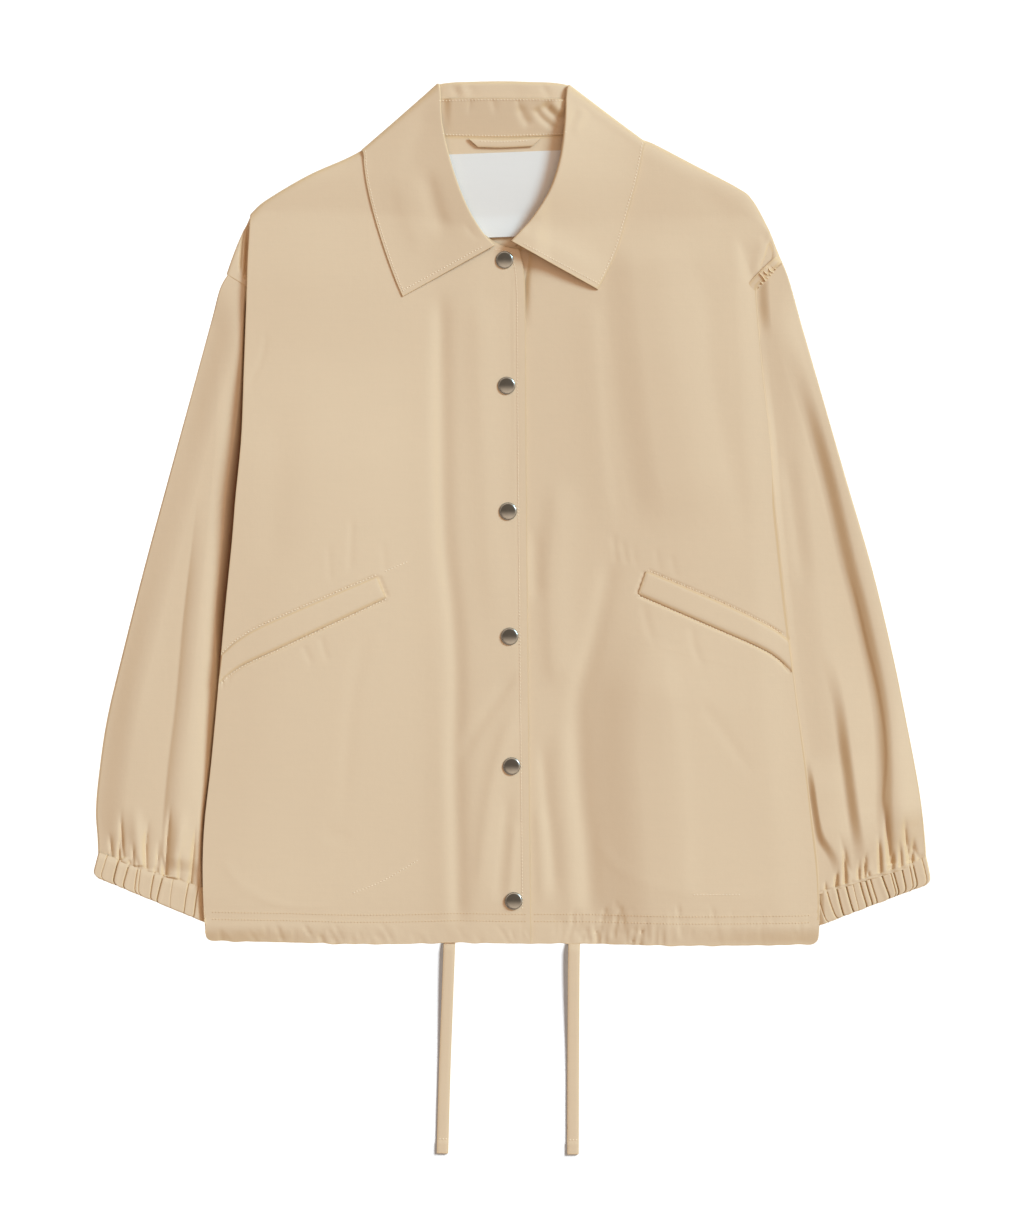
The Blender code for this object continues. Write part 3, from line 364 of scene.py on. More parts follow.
LEAF_CREASES = [
    Crease(-0.6, 9.0, 11.0, 0.30, 0.40, ((-66, 344), (-76, 322), (-84, 298), (-87, 275))),
    Crease(-1.1, 8.0, 7.0, 0.30, 0.25, ((-72, 292), (-70, 278), (-66, 261), (-60, 244), (-52, 231))),
    Crease(-0.5, 1.6, 2.4, 0.30, 0.40, ((-39, 243), (-34, 234), (-25, 228)), "sharp"),
    Crease(0.5, 8.0, 12.0, 0.30, 0.30, ((-96, 288), (-87, 250), (-72, 211))),
    Crease(-0.7, 1.6, 2.6, 0.30, 0.40, ((55, 339), (50, 328), (44, 319)), "sharp"),
    Crease(0.5, 4.0, 4.0, 0.30, 0.30, ((62, 342), (57, 328), (50, 315))),
    Crease(-0.6, 2.6, 4.0, 0.30, 0.40, ((24, 249), (17, 242), (7, 235))),
]
ROLL_CREASES = [
    Crease(-1.0, 1.8, 2.4, 0.30, 0.30, ((-52, 360), (-48, 354), (-44, 347)), "sharp"),
    Crease(0.6, 2.6, 2.6, 0.30, 0.30, ((-45, 360), (-41, 354), (-37, 347))),
    Crease(-0.9, 1.8, 2.4, 0.30, 0.30, ((-39, 360), (-35, 354), (-32, 346)), "sharp"),
    Crease(-0.6, 1.8, 2.4, 0.30, 0.30, ((1, 360), (2, 354), (3, 346)), "sharp"),
    Crease(-0.8, 1.8, 2.4, 0.30, 0.30, ((24, 360), (28, 354), (33, 346)), "sharp"),
]
TIP_CREASES = [
    Crease(-2.6, 0.9, 0.8, 0.15, 0.05, ((-221.0, 244), (-222.6, 226), (-223.4, 210),
           (-224.2, 196)), "sharp"),
    Crease(0.5, 1.0, 1.0, 0.25, 0.20, ((-223, 240), (-225.2, 222), (-225.8, 206), (-226.2, 197))),
    Crease(-1.2, 0.8, 1.0, 0.25, 0.20, ((-223.6, 243), (-226.6, 229), (-228.0, 212),
           (-228.4, 200)), "sharp"),
]
BACK_CREASES = [
    Crease(0.8, 9.0, 12.0, 0.25, 0.30, ((-120, 210), (-112, 120), (-118, 20), (-104, -90))),
    Crease(0.6, 7.0, 10.0, 0.30, 0.25, ((96, 190), (104, 80), (92, -40), (99, -150))),
    Crease(0.7, 12.0, 9.0, 0.30, 0.30, ((-40, -60), (-52, -150), (-46, -240), (-58, -320))),
    Crease(0.5, 6.0, 6.0, 0.35, 0.35, ((30, -130), (46, -210), (38, -300))),
    Crease(0.5, 8.0, 8.0, 0.35, 0.35, ((-10, 240), (8, 170), (2, 90))),
]
UNDER_CREASES = [
    Crease(0.9, 7.0, 9.0, 0.30, 0.10, ((-262, 40), (-284, -60), (-300, -170), (-306, -270))),
    Crease(0.6, 6.0, 7.0, 0.30, 0.10, ((-300, -120), (-322, -200), (-330, -280))),
    Crease(0.9, 8.0, 7.0, 0.30, 0.10, ((252, 50), (276, -50), (292, -160), (300, -270))),
    Crease(0.6, 6.0, 7.0, 0.30, 0.10, ((292, -100), (318, -190), (326, -280))),
]

# Stitched rows: distance from the placket edge and from the hem, and lines of the other rows
PLACKET_ROW = 6.9
HEM_ROWS = (18.5, 24.5)
PLACKET_TOP = [Spot(-15, 221), Spot(-6, 220), Spot(1, 217.5)]
NECK_ROWS = [
    [Spot(-62, 345.2), Spot(-8, 346.0), Spot(44, 345.4)],
    [Spot(-59, 317.6), Spot(-8, 316.6), Spot(47, 318.6)],
    [Spot(-27, 311.6), Spot(-6, 311.2), Spot(15, 312.2)],
]
POCKET_ROWS_RIGHT = [
    [Spot(-107, -49.5), Spot(-86, -40.3)],
    [Spot(-134, -319), Spot(-107, -308), Spot(-77, -290)],
]
POCKET_ROWS_LEFT = [[Spot(151, -320), Spot(192, -320)]]

tops = {}    # upper grids of the cloth pieces, in millimetres


# Curves
def ramp(value, low, high):
    """Smooth step from 0 at low to 1 at high."""
    t = np.clip((np.asarray(value, float) - low) / (high - low), 0.0, 1.0)
    return t * t * (3 - 2 * t)


def mix(a, b, t):
    """Straight blend from a to b."""
    return a + (b - a) * t


def hermite(a, b, pull_a, pull_b, t):
    """Smooth blend from a to b with the given slopes at its ends."""
    return ((2 * t ** 3 - 3 * t ** 2 + 1) * a + (t ** 3 - 2 * t ** 2 + t) * pull_a
            + (3 * t ** 2 - 2 * t ** 3) * b + (t ** 3 - t ** 2) * pull_b)


def neighbours(count):
    """Places before and after each of a run of places, kept inside it."""
    places = np.arange(count)
    return np.maximum(places - 1, 0), np.minimum(places + 1, count - 1)


def along(rows, value, column):
    """One column of a table at values of its first column, with smooth slopes."""
    keys = np.array([row[0] for row in rows], float)
    values = np.array([getattr(row, column) for row in rows], float)
    before, after = neighbours(len(keys))
    slopes = (values[after] - values[before]) / (keys[after] - keys[before])
    value = np.clip(value, keys[0], keys[-1])
    i = np.clip(np.searchsorted(keys, value, side="right") - 1, 0, len(keys) - 2)
    step = keys[i + 1] - keys[i]
    t = (value - keys[i]) / step
    return hermite(values[i], values[i + 1], slopes[i] * step, slopes[i + 1] * step, t)


def spline(spots, steps=12):
    """Smooth run of points through the rows of a table."""
    points = np.array(spots, float)
    before, after = neighbours(len(points))
    pulls = (points[after] - points[before]) * 0.5
    t = (np.arange(steps) / steps)[:, None]
    runs = [hermite(points[i], points[i + 1], pulls[i], pulls[i + 1], t) for i in range(len(points) - 1)]
    return np.vstack(runs + [points[-1:]])


def reach(line):
    """Length of a line up to each of its points."""
    return np.r_[0.0, np.cumsum(np.linalg.norm(np.diff(line, axis=0), axis=1))]


def walk(line, fractions):
    """Points at fractions of the length of a line."""
    lengths = reach(line)
    at = np.asarray(fractions) * lengths[-1]
    return np.stack([np.interp(at, lengths, column) for column in line.T], axis=-1)


def beside(line, distance):
    """Line moved to its left-hand side."""
    before, after = neighbours(len(line))
    run = line[after] - line[before]
    run = run / np.linalg.norm(run, axis=1)[:, None]
    return line + np.stack([-run[:, 1], run[:, 0]], axis=-1) * distance


def patch(hem, top, start, end, across, up):
    """Grid of points between four edge lines, at the given fractions across and up."""
    u, v = across[None, :, None], up[:, None, None]
    grid = walk(hem, across)[None] * (1 - v) + walk(top, across)[None] * v
    grid = grid + walk(start, up)[:, None] * (1 - u) + walk(end, up)[:, None] * u
    low, high = hem[0] * (1 - u) + hem[-1] * u, top[0] * (1 - u) + top[-1] * u
    return grid - low * (1 - v) - high * v


def between(low, high, across, up):
    """Grid of places between two lines, at the given fractions across and up."""
    v = up[:, None, None]
    return walk(low, across)[None] * (1 - v) + walk(high, across)[None] * v


def spread(*bands):
    """Fractions of a length, in bands that each run up to a place with steps of about a given size."""
    places, start = [], 0.0
    for end, step in bands:
        places.append(np.linspace(start, end, round((end - start) / step), endpoint=False))
        start = end
    return np.r_[np.concatenate(places), start] / start


# Heights
def inside(x, y):
    """Distance of points inside the nearer side fold."""
    return np.where(x < 0, x - along(BODY_EDGE, y, "right"), along(BODY_EDGE, y, "left") - x)


def lift(x, y, slope):
    """Height of the body over the sleeves and the turned-down collar, falling inwards in a slope."""
    depth = along(TUCK, y, "depth")
    sleeve = 1 - ramp(inside(x, y), depth + 7, depth + 7 + slope)
    sleeve = sleeve * ramp(y, -366, -346) * (1 - ramp(y, 186, 282))
    rise = np.where(x < 0, along(TUCK, y, "right"), along(TUCK, y, "left"))
    return np.maximum(rise * sleeve, NECK_LIFT * ramp(y, 226, 286))


def puff(x, y, cloth):
    """Air between the front and back panels: full at the right side fold, thin at the left one."""
    full = cloth.ease + cloth.side_puff * (1 - ramp(inside(x, y), 26, 90))
    thin = cloth.ease * (0.2 + 0.8 * ramp(inside(x, y), 0, 90))
    return np.where(x < 0, full, thin) / MM * (0.35 + 0.65 * ramp(y, -362, -314))


def lap(x):
    """Extra height of the right front where it lies on the underlap of the left front."""
    return (CAD_WALL + SEAM_GAP) * ramp(x, -75, -26)


def front_top(x, y, cloth):
    """Upper face of the fronts away from their rounded edges and creases."""
    over = lap(x) * (1 - ramp(x, 18, 34))
    return lift(x, y, FRONT_SLOPE) + 2 * CAD_WALL + SEAM_GAP + puff(x, y, cloth) + over


def creases(x, y, rows):
    """Height of the soft folds of a table at points of a sheet."""
    height = np.zeros(np.shape(x))
    for row in rows:
        line = spline(row.path, 6)
        margin = 3 * max(row.west, row.east) + 4
        low, high = line.min(axis=0) - margin, line.max(axis=0) + margin
        near = (x > low[0]) & (x < high[0]) & (y > low[1]) & (y < high[1])
        px, py = x[near], y[near]
        nearest, side, place = np.full(px.shape, np.inf), np.zeros(px.shape), np.zeros(px.shape)
        lengths = reach(line)
        for a, b, start in zip(line, line[1:], lengths):
            run = b - a
            length = np.hypot(*run)
            t = np.clip(((px - a[0]) * run[0] + (py - a[1]) * run[1]) / length ** 2, 0, 1)
            distance = np.hypot(px - a[0] - run[0] * t, py - a[1] - run[1] * t)
            closer = distance < nearest
            nearest = np.where(closer, distance, nearest)
            side = np.where(closer, run[0] * (py - a[1]) - run[1] * (px - a[0]), side)
            place = np.where(closer, (start + t * length) / lengths[-1], place)
        if row.kind in ("fold", "swell"):
            past = np.where(side > 0, nearest, 0)
            if row.kind == "fold":
                rise = 1 - (1 - np.minimum(past / row.west, 1)) ** 2
            else:
                rise = ramp(past, 0, row.west)
            form = rise * np.exp(-(np.maximum(past - row.west, 0) / row.east) ** 2)
        else:
            away = nearest / np.where(side > 0, row.east, row.west)
            form = np.exp(-away ** 2) if row.kind == "soft" else np.exp(-away)
        fade = ramp(place, 0, row.fade_in) * (1 - ramp(place, 1 - row.fade_out, 1))
        height[near] += row.height * form * fade
    return height


def gathers(x, up, span, spacing, lean_to, reach_to, seed):
    """Uneven slanted puckers along a gathered edge, by place along it and distance up from it."""
    draw = np.random.default_rng(seed)
    height = np.zeros(np.shape(x))
    place = span[0]
    while place < span[1]:
        place += spacing * draw.uniform(0.45, 1.6)
        lean, width = draw.uniform(*lean_to), draw.uniform(0.8, 1.5)
        tall, foot, top = draw.uniform(-1.5, 0.4), draw.uniform(-6, 7), draw.uniform(*reach_to)
        away = np.abs(x - place - lean * (up - 9)) / width
        form = np.exp(-away) if tall < 0 else np.exp(-(away / 1.6) ** 2)
        height += tall * form * ramp(up, foot - 3, foot + 4) * (1 - ramp(up, top - 8, top))
    return height


# Meshes
def normals(grid):
    """Unit normal at each point of a grid, upward on the whole."""
    rows, columns = grid.shape[:2]
    (up, down), (left, right) = neighbours(rows), neighbours(columns)
    normal = np.cross(grid[:, right] - grid[:, left], grid[down] - grid[up])
    normal /= np.maximum(np.linalg.norm(normal, axis=-1), 1e-9)[..., None]
    return normal if normal[..., 2].mean() > 0 else -normal


def piece(name, points, faces, look="sand_cotton", painted_slot_shade=None):
    """Make a piece of the jacket from points in millimetres; it rides on the one body."""
    mesh = bpy.data.meshes.new(name)
    mesh.from_pydata((np.asarray(points) * MM).tolist(), [], faces)
    work = bmesh.new()
    work.from_mesh(mesh)
    bmesh.ops.recalc_face_normals(work, faces=work.faces)
    work.to_mesh(mesh)
    work.free()
    mesh.polygons.foreach_set("use_smooth", [True] * len(mesh.polygons))
    mesh.set_sharp_from_angle(angle=CRISP_EDGE)
    out = np.zeros(3 * len(mesh.vertices))
    mesh.vertex_normals.foreach_get("vector", out)
    # Steepness of the surface at each point, which the cloth's colour uses for painted shade on folds
    steep = mesh.attributes.new("steep", "FLOAT", "POINT")
    steep.data.foreach_set("value", np.sqrt(np.clip(1 - out[2::3] ** 2, 0, 1)))
    # Optional mask of shade painted into the cloth's colour
    if painted_slot_shade is not None:
        mesh.attributes.new("painted_slot_shade", "FLOAT", "POINT").data.foreach_set("value", painted_slot_shade)
    mesh.materials.append(look_of(look))
    thing = bpy.data.objects.new(name, mesh)
    bpy.context.scene.collection.objects.link(thing)
    return settle(thing)


def settle(thing):
    """Put a finished piece on the body."""
    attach(thing, "root")
    return thing


def quads(rows, columns, closed=False):
    """Corner numbers of the faces of a grid, or of a tube when its rows are closed."""
    r, c = np.meshgrid(np.arange(rows - 1), np.arange(columns if closed else columns - 1), indexing="ij")
    a, b = r * columns + c, r * columns + (c + 1) % columns
    return np.stack([a, b, b + columns, a + columns], axis=-1).reshape(-1, 4)


def shell(upper, lower, bulge):
    """Points and faces of a closed sheet between two grids of the same size, with a rounded rim."""
    rows, columns = upper.shape[:2]
    number = np.arange(rows * columns).reshape(rows, columns)
    rim = np.r_[number[0, :-1], number[:-1, -1], number[-1, :0:-1], number[:0:-1, 0]]
    within = number[np.clip(rim // columns, 1, rows - 2), np.clip(rim % columns, 1, columns - 2)]
    top, bottom = upper.reshape(-1, 3), lower.reshape(-1, 3)
    out = top[rim] - top[within]
    out /= np.maximum(np.linalg.norm(out, axis=1), 1e-9)[:, None]
    middle = (top[rim] + bottom[rim]) / 2 + out * bulge
    half, turn = rows * columns, np.arange(len(rim))
    after = (turn + 1) % len(rim)
    faces = [quads(rows, columns), half + quads(rows, columns)[:, ::-1],
             np.stack([rim[after], rim, 2 * half + turn, 2 * half + after], axis=-1),
             np.stack([2 * half + after, 2 * half + turn, half + rim, half + rim[after]], axis=-1)]
    return np.vstack([top, bottom, middle]), np.vstack(faces)


def sheet(name, upper, lower, bulge=0.2, more=None, look="sand_cotton", slot="cotton"):
    """Closed sheet between two grids, with a second pair of grids of the same cloth if there is one."""
    points, faces = shell(upper, lower, bulge)
    if more:
        more_points, more_faces = shell(*more, bulge)
        faces = np.vstack([faces, more_faces + len(points)])
        points = np.vstack([points, more_points])
    tops[name] = upper
    return piece(name, points, faces.tolist(), look)


def tube(name, rings, painted_slot_shade=None):
    """Closed tube wall from rings of points, thickened inwards."""
    count, size = rings.shape[:2]
    places = np.arange(size)
    around = rings[:, (places + 1) % size] - rings[:, places - 1]
    before, after = neighbours(count)
    out = np.cross(around, rings[after] - rings[before])
    out /= np.maximum(np.linalg.norm(out, axis=-1), 1e-9)[..., None]
    middle = rings.mean(axis=1, keepdims=True)
    if ((rings - middle) * out).sum() < 0:
        out = -out
    within = rings - out * TUBE_WALL
    half = count * size
    faces = [quads(count, size, True), half + quads(count, size, True)[:, ::-1]]
    for first in (0, (count - 1) * size):
        a, b = first + places, first + (places + 1) % size
        faces.append(np.stack([a, b, half + b, half + a], axis=-1))
    points = np.vstack([rings.reshape(-1, 3), within.reshape(-1, 3)])
    # The mask of painted shade covers the upper side of the tube; the underside and the inner wall get none
    if painted_slot_shade is not None:
        painted_slot_shade = np.r_[np.pad(painted_slot_shade, ((0, 0), (0, size - painted_slot_shade.shape[1]))).ravel(), np.zeros(half)]
    return piece(name, points, np.vstack(faces).tolist(), painted_slot_shade=painted_slot_shade)


def surface(*names):
    """Search tree over the upper faces of named pieces."""
    points, faces = [], []
    for name in names:
        grid = tops[name]
        faces += (quads(*grid.shape[:2]) + len(points)).tolist()
        points += grid.reshape(-1, 3).tolist()
    return BVHTree.FromPolygons(points, faces)


def drop(tree, spots):
    """Points and normals of a surface straight below the given places."""
    points, outs = [], []
    for x, y in spots:
        place, normal, _, _ = tree.ray_cast(Vector((x, y, OVERHEAD)), Vector((0, 0, -1)))
        if place is None:
            place, normal, _, _ = tree.find_nearest(Vector((x, y, 8)))
        points.append(place)
        outs.append(normal if normal.z > 0 else -normal)
    return np.array(points), np.array(outs)


# Materials
class Value:
    """A shader socket that takes part in Python sums."""

    def __init__(self, tree, socket):
        self.tree = tree
        self.socket = socket

    def node(self, kind, settings=None, sockets=None, out=0):
        return add_node(self.tree, kind, settings, sockets, out)

    def math(self, operation, a, b):
        return self.node("ShaderNodeMath", {"operation": operation}, {0: a, 1: b})

    def __add__(self, other):
        return self.math("ADD", self, other)

    def __radd__(self, other):
        return self.math("ADD", other, self)

    def __sub__(self, other):
        return self.math("SUBTRACT", self, other)

    def __rsub__(self, other):
        return self.math("SUBTRACT", other, self)

    def __mul__(self, other):
        return self.math("MULTIPLY", self, other)

    def __rmul__(self, other):
        return self.math("MULTIPLY", other, self)


def add_node(tree, kind, settings=None, sockets=None, out=0):
    """Add a node, set it up, then fill or link its sockets; gives one of its outputs."""
    node = tree.nodes.new(kind)
    for key, setting in (settings or {}).items():
        setattr(node, key, setting)
    for key, value in (sockets or {}).items():
        if isinstance(value, Value):
            tree.links.new(value.socket, node.inputs[key])
        else:
            node.inputs[key].default_value = value
    return Value(tree, node.outputs[out])


def material(name, colour, roughness, constants=None):
    """New material with constants on its shader; gives the material, its tree and its shader."""
    look = bpy.data.materials.new(name)
    look.use_nodes = True
    shader = look.node_tree.nodes["Principled BSDF"]
    shader.inputs["Base Color"].default_value = (*colour, 1.0)
    shader.inputs["Roughness"].default_value = roughness
    for key, value in (constants or {}).items():
        shader.inputs[key].default_value = value
    return look, look.node_tree, shader


def tinted(tree, shade, dark, light):
    """Colour between two shades of a finish by a value from 0 to 1."""
    return add_node(tree, "ShaderNodeMix", {"data_type": "RGBA"},
                    {0: shade, 6: (*dark, 1.0), 7: (*light, 1.0)}, 2)


def woven(name, colour, thread, depth, roughness=0.86, slub=0.03, painted_fold_shade=(1.0, 1.0, 1.0)):
    """Plain-weave cloth: crossing threads, slubs along the weft, uneven tone, and shade painted darker and
    warmer on steep folds and in a masked slot.
    """
    look, tree, shader = material(name, colour, roughness, {"Sheen Weight": 0.12, "Sheen Roughness": 0.5})
    place = add_node(tree, "ShaderNodeTexCoord", out="Object")
    bands = 2 * math.pi / 20 / thread
    warp, weft = (add_node(tree, "ShaderNodeTexWave", {"bands_direction": axis},
                           {"Vector": place, "Scale": bands}, 1) for axis in "XY")
    drawn = add_node(tree, "ShaderNodeMapping", None, {"Vector": place, "Scale": (45.0, 700.0, 45.0)})
    slubs = add_node(tree, "ShaderNodeTexNoise", None, {"Vector": drawn, "Scale": 1.0, "Detail": 2.0})
    tone = add_node(tree, "ShaderNodeTexNoise", None, {"Vector": place, "Scale": 9.0, "Detail": 3.0})
    rumple = add_node(tree, "ShaderNodeTexNoise", None, {"Vector": place, "Scale": 160.0, "Detail": 3.0})
    hung = add_node(tree, "ShaderNodeMapping", None, {"Vector": place, "Scale": (120.0, 20.0, 120.0)})
    streaks = add_node(tree, "ShaderNodeTexNoise", None, {"Vector": hung, "Scale": 1.0, "Detail": 3.0})
    shade = slubs * 0.5 + tone * 0.5
    dark = tuple(c * (1 - slub) for c in colour)
    light = tuple(min(1.0, c * (1 + slub)) for c in colour)
    # Painted shade: the cotton's colour turns darker and warmer where the surface is steep
    steep = add_node(tree, "ShaderNodeAttribute", {"attribute_name": "steep"}, out="Fac")
    fold_shade_share = add_node(tree, "ShaderNodeMapRange", {"interpolation_type": "SMOOTHSTEP"},
                      {0: steep, 1: 0.15, 2: 0.55})
    painted_fold_colour = (*(c * d for c, d in zip(colour, painted_fold_shade)), 1.0)
    tone = add_node(tree, "ShaderNodeMix", {"data_type": "RGBA"},
                    {0: fold_shade_share, 6: tinted(tree, shade, dark, light), 7: painted_fold_colour}, 2)
    # Painted shade: a dark warm colour in the slot beside the right side fold, where the sleeve's mask is
    # high
    painted_slot_shade = add_node(tree, "ShaderNodeAttribute", {"attribute_name": "painted_slot_shade"}, out="Fac")
    painted_slot_colour = (*(c * d for c, d in zip(colour, SLOT_PAINTED_SHADE)), 1.0)
    tone = add_node(tree, "ShaderNodeMix", {"data_type": "RGBA"}, {0: painted_slot_shade, 6: tone, 7: painted_slot_colour}, 2)
    tree.links.new(tone.socket, shader.inputs["Base Color"])
    tree.links.new((roughness - 0.05 + shade * 0.1).socket, shader.inputs["Roughness"])
    relief = (warp + weft) * 0.12 + slubs * 0.08 + rumple * 0.4 + streaks * 0.3
    bump = add_node(tree, "ShaderNodeBump", None, {"Height": relief, "Strength": 0.35, "Distance": depth})
    tree.links.new(bump.socket, shader.inputs["Normal"])
    return look


def nickel_painted_reflection(name, colour):
    """Metal of the snap caps, with reflection painted into its colour: dark towards the top of the dome,
    light towards its bottom and in a ring.
    """
    look, tree, shader = material(name, colour, 0.24, {"Metallic": 1.0})
    place = add_node(tree, "ShaderNodeTexCoord", out="Object")
    painted_reflection = add_node(tree, "ShaderNodeAttribute", {"attribute_name": "painted_reflection"}, out="Fac")
    wear = add_node(tree, "ShaderNodeTexNoise", None, {"Vector": place, "Scale": 260.0, "Detail": 2.0})
    tree.links.new((0.17 + wear * 0.12).socket, shader.inputs["Roughness"])
    dark = tuple(c * 0.13 for c in colour)
    tone = tinted(tree, painted_reflection * (0.8 + wear * 0.4), dark, colour)
    tree.links.new(tone.socket, shader.inputs["Base Color"])
    return look


def look_of(name):
    """Material of the jacket by its finish, made once."""
    if name in bpy.data.materials:
        return bpy.data.materials[name]
    colours = bpy.context.scene.jacket_colours
    if name == "sand_cotton":
        return woven(name, tuple(colours.cotton), 0.0006, 0.0006, painted_fold_shade=FOLD_PAINTED_SHADE)
    if name == "sand_thread":
        return woven(name, tuple(colours.thread), 0.0003, 0.0001)
    if name == "white_label":
        return woven(name, tuple(colours.label), 0.0005, 0.0003, 0.8, 0.02)
    return nickel_painted_reflection(name, tuple(colours.nickel))


# Body panels
def hem_line(x_from, x_to):
    """Part of the hem between two places."""
    x = mix(x_from, x_to, (1 - np.cos(np.linspace(0, np.pi, 71))) / 2)
    return np.stack([x, along(HEM, x, "y")], axis=-1)


def side_line(right, tip):
    """Side fold from the hem up to the shoulder; on the left it turns out along the armhole seam."""
    y = np.linspace(*(SIDE_RIGHT if right else SIDE_LEFT), 45)
    x = along(BODY_EDGE, y, "right" if right else "left")
    return np.vstack([np.stack([x, y], axis=-1), [tip[:2]]])


def turned_under(grid):
    """Grid with its last column carried on round the side fold, crisper on the left."""
    edge = grid[:, -1]
    run_up = np.gradient(edge[:, :2], axis=0)
    inward = run_up[:, ::-1] * ((1, -1) if edge[0, 0] < 0 else (-1, 1))
    inward /= np.linalg.norm(inward, axis=1)[:, None]
    radius = 1.6 if edge[0, 0] < 0 else np.where(edge[:, 1] > 189.5, 0.15, 0.7)
    size = np.minimum(radius, edge[:, 2] - 0.3)
    columns = []
    for angle, run in ((22, 0), (45, 0), (68, 0), (90, 0), (90, 3), (90, 7)):
        turn = math.radians(angle)
        place = edge.copy()
        place[:, :2] += inward * (size * (1 - math.cos(turn)) + run)[:, None]
        place[:, 2] -= size * math.sin(turn)
        columns.append(place)
    return np.concatenate([grid, np.stack(columns, axis=1)], axis=1)


def front_panel(name, right, inner_spots, neck, shoulder, folds, cloth):
    """One front: its side fold rolls under, its hem is gathered and its creases lie as placed."""
    inner, outer = spline(inner_spots), side_line(right, shoulder[-1])
    hem = hem_line(inner[0, 0], outer[0, 0])
    inner[0], outer[0] = hem[0], hem[-1]
    top = np.vstack([spline(neck), spline(shoulder)[1:]])
    neck_share = reach(spline(neck))[-1] / reach(top)[-1]
    width, height = PANEL
    across = spread((16, 1.2), (width - 12, 1.8), (width, 1.2))
    up = spread((34, 1.2), (206, 3.6), (318, 1.1), (height - 14, 3.8), (height, 1.3))
    flat = patch(hem, top, inner, outer, across, up)
    x, y = flat[..., 0], flat[..., 1]
    u, v = across[None, :] * width, up[:, None] * height
    y = y + (0.3 * np.sin(x / 2.9) + 0.3 * np.sin(x / 5.3 + 1)) * np.sin(x / 31) * (1 - ramp(v, 0, 14))
    roll, brow = cloth.side_roll / MM, cloth.shoulder_roll / MM
    from_top = (height - v) / brow + 1 - ramp(across, neck_share + 0.02, neck_share + 0.12)[None, :]
    shore = np.minimum(1.0, np.minimum((width - u) / roll, from_top))
    round_off = np.sqrt(1 - (1 - shore) ** 2)
    if not right:
        round_off = np.minimum(ramp(width - u, 0, 45), np.sqrt(1 - (1 - np.minimum(1, from_top)) ** 2))
    air = CAD_WALL + SEAM_GAP - 0.1 + puff(x, y, cloth)
    relief = creases(x, y, folds) * cloth.crease
    relief += casing(x, v, right, cloth)
    relief += creases(x, y, welt_slits(right))
    if right:
        air = air + lap(x)
        relief += placket_edge(u, v)
    else:
        clear = x - np.interp(y, *np.array(PLACKET)[:, ::-1].T)
        relief = mix(np.minimum(relief, 0), relief, ramp(clear, 0.6, 4.0)) * ramp(clear, -14, -8)
    z = lift(x, y, FRONT_SLOPE) + 0.1 + air * round_off + CAD_WALL + relief * ramp(shore, 0, 0.8)
    if not right:
        low = SHOULDER_STRIP - 2.4 * (1 - np.sqrt(1 - (1 - np.minimum(1, (height - v) / 6)) ** 2))
        z = mix(z, low + relief, shoulder_drop(x, y))
    grid = turned_under(np.dstack([x, y, np.maximum(z, 1.2)]))
    lower = grid - normals(grid) * SHEET_WALL
    lower[..., 2] = np.maximum(lower[..., 2], 0.3)
    thing = sheet(name, grid, lower, more=shoulder_tip() if right else None)
    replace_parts(thing, name.replace("_cloth", ""))
    return thing


def welt_slits(right):
    """Narrow grooves round a welt, deepest under its lower edge."""
    high, low = (spline(line) for line in (WELT_RIGHT if right else WELT_LEFT))
    turn = 1 if right else -1
    end = np.array([high[0], low[0]]) + (1.0 * turn, 0)
    return [Crease(-2.0, 0.85, 0.85, 0.02, 0.01, beside(low, 0.9 * turn)[::4], "sharp"),
            Crease(-1.2, 0.8, 0.8, 0.02, 0.01, beside(high, -0.9 * turn)[::4], "sharp"),
            Crease(-1.2, 0.8, 0.8, 0.02, 0.02, end, "sharp")]


def casing(x, up, right, cloth):
    """Relief of the drawstring casing: two stitched grooves, a soft tube below them and gathers."""
    tube_form = 0.18 * ramp(up, 0, 7) * (1 - ramp(up, 12, 18))
    grooves = sum(np.exp(-((up - row) / 1.1) ** 2) for row in HEM_ROWS)
    if right:
        pull = gathers(x, up, (-250, 12), 4.2, (-0.7, 0.1), (8, 19), 5)
    else:
        pull = gathers(x, up, (30, 250), 3.2, (-0.3, 0.3), (14, 34), 8)
    full = ramp(-x, 60, 100) if right else ramp(x, 40, 60) * (1 - ramp(x, 135, 160)) * 2.2
    return (tube_form - 0.05 * grooves + pull * (0.35 + 0.45 * full)) * cloth.gather


def placket_edge(u, up):
    """Relief of the lapped front edge: a doubled strip with a stitched groove."""
    strip = 0.1 * (1 - ramp(u, PLACKET_ROW - 0.6, PLACKET_ROW + 1.6)) * ramp(up, 20, 40)
    return strip - 0.16 * np.exp(-((u - PLACKET_ROW) / 1.0) ** 2)


def shoulder_drop(x, y):
    """Share of the fall of the left front to the height of its shoulder beside the sleeve."""
    fold = along(BODY_EDGE, y, "left")
    return ramp(x - fold, 0.0, 9.0) * ramp(y, 183, 190) * (1 - ramp(y, 222, 250))


def tip_height(y):
    """Height of the right shoulder strip, just under the side fold that lies on it."""
    return np.maximum(lift(along(BODY_EDGE, y, "right"), y, FRONT_SLOPE) - 0.25, 1.3)


def shoulder_tip():
    """Upper and lower grids of the right shoulder strip between the side fold and the armhole seam."""
    outer, across, up = spline(SHOULDER_TIP), spread((14, 0.45), (22, 1.2)), spread((50, 1.2))
    inner = np.array(TIP_INNER)
    flat = mix(walk(outer, up)[:, None], walk(inner, up)[:, None], across[None, :, None])
    x, y = flat[..., 0], flat[..., 1]
    inwards = np.hypot(x - flat[:, :1, 0], y - flat[:, :1, 1])
    round_off = np.sqrt(1 - (1 - np.minimum(1, inwards / 3)) ** 2)
    upper = np.dstack([x, y, tip_height(y) - 0.9 * (1 - round_off)])
    upper[..., 2] = np.maximum(upper[..., 2] + creases(x, y, TIP_CREASES), 0.9)
    lower = upper - (0, 0, 0.7)
    lower[..., 2] = np.maximum(lower[..., 2], 0.1)
    return upper, lower


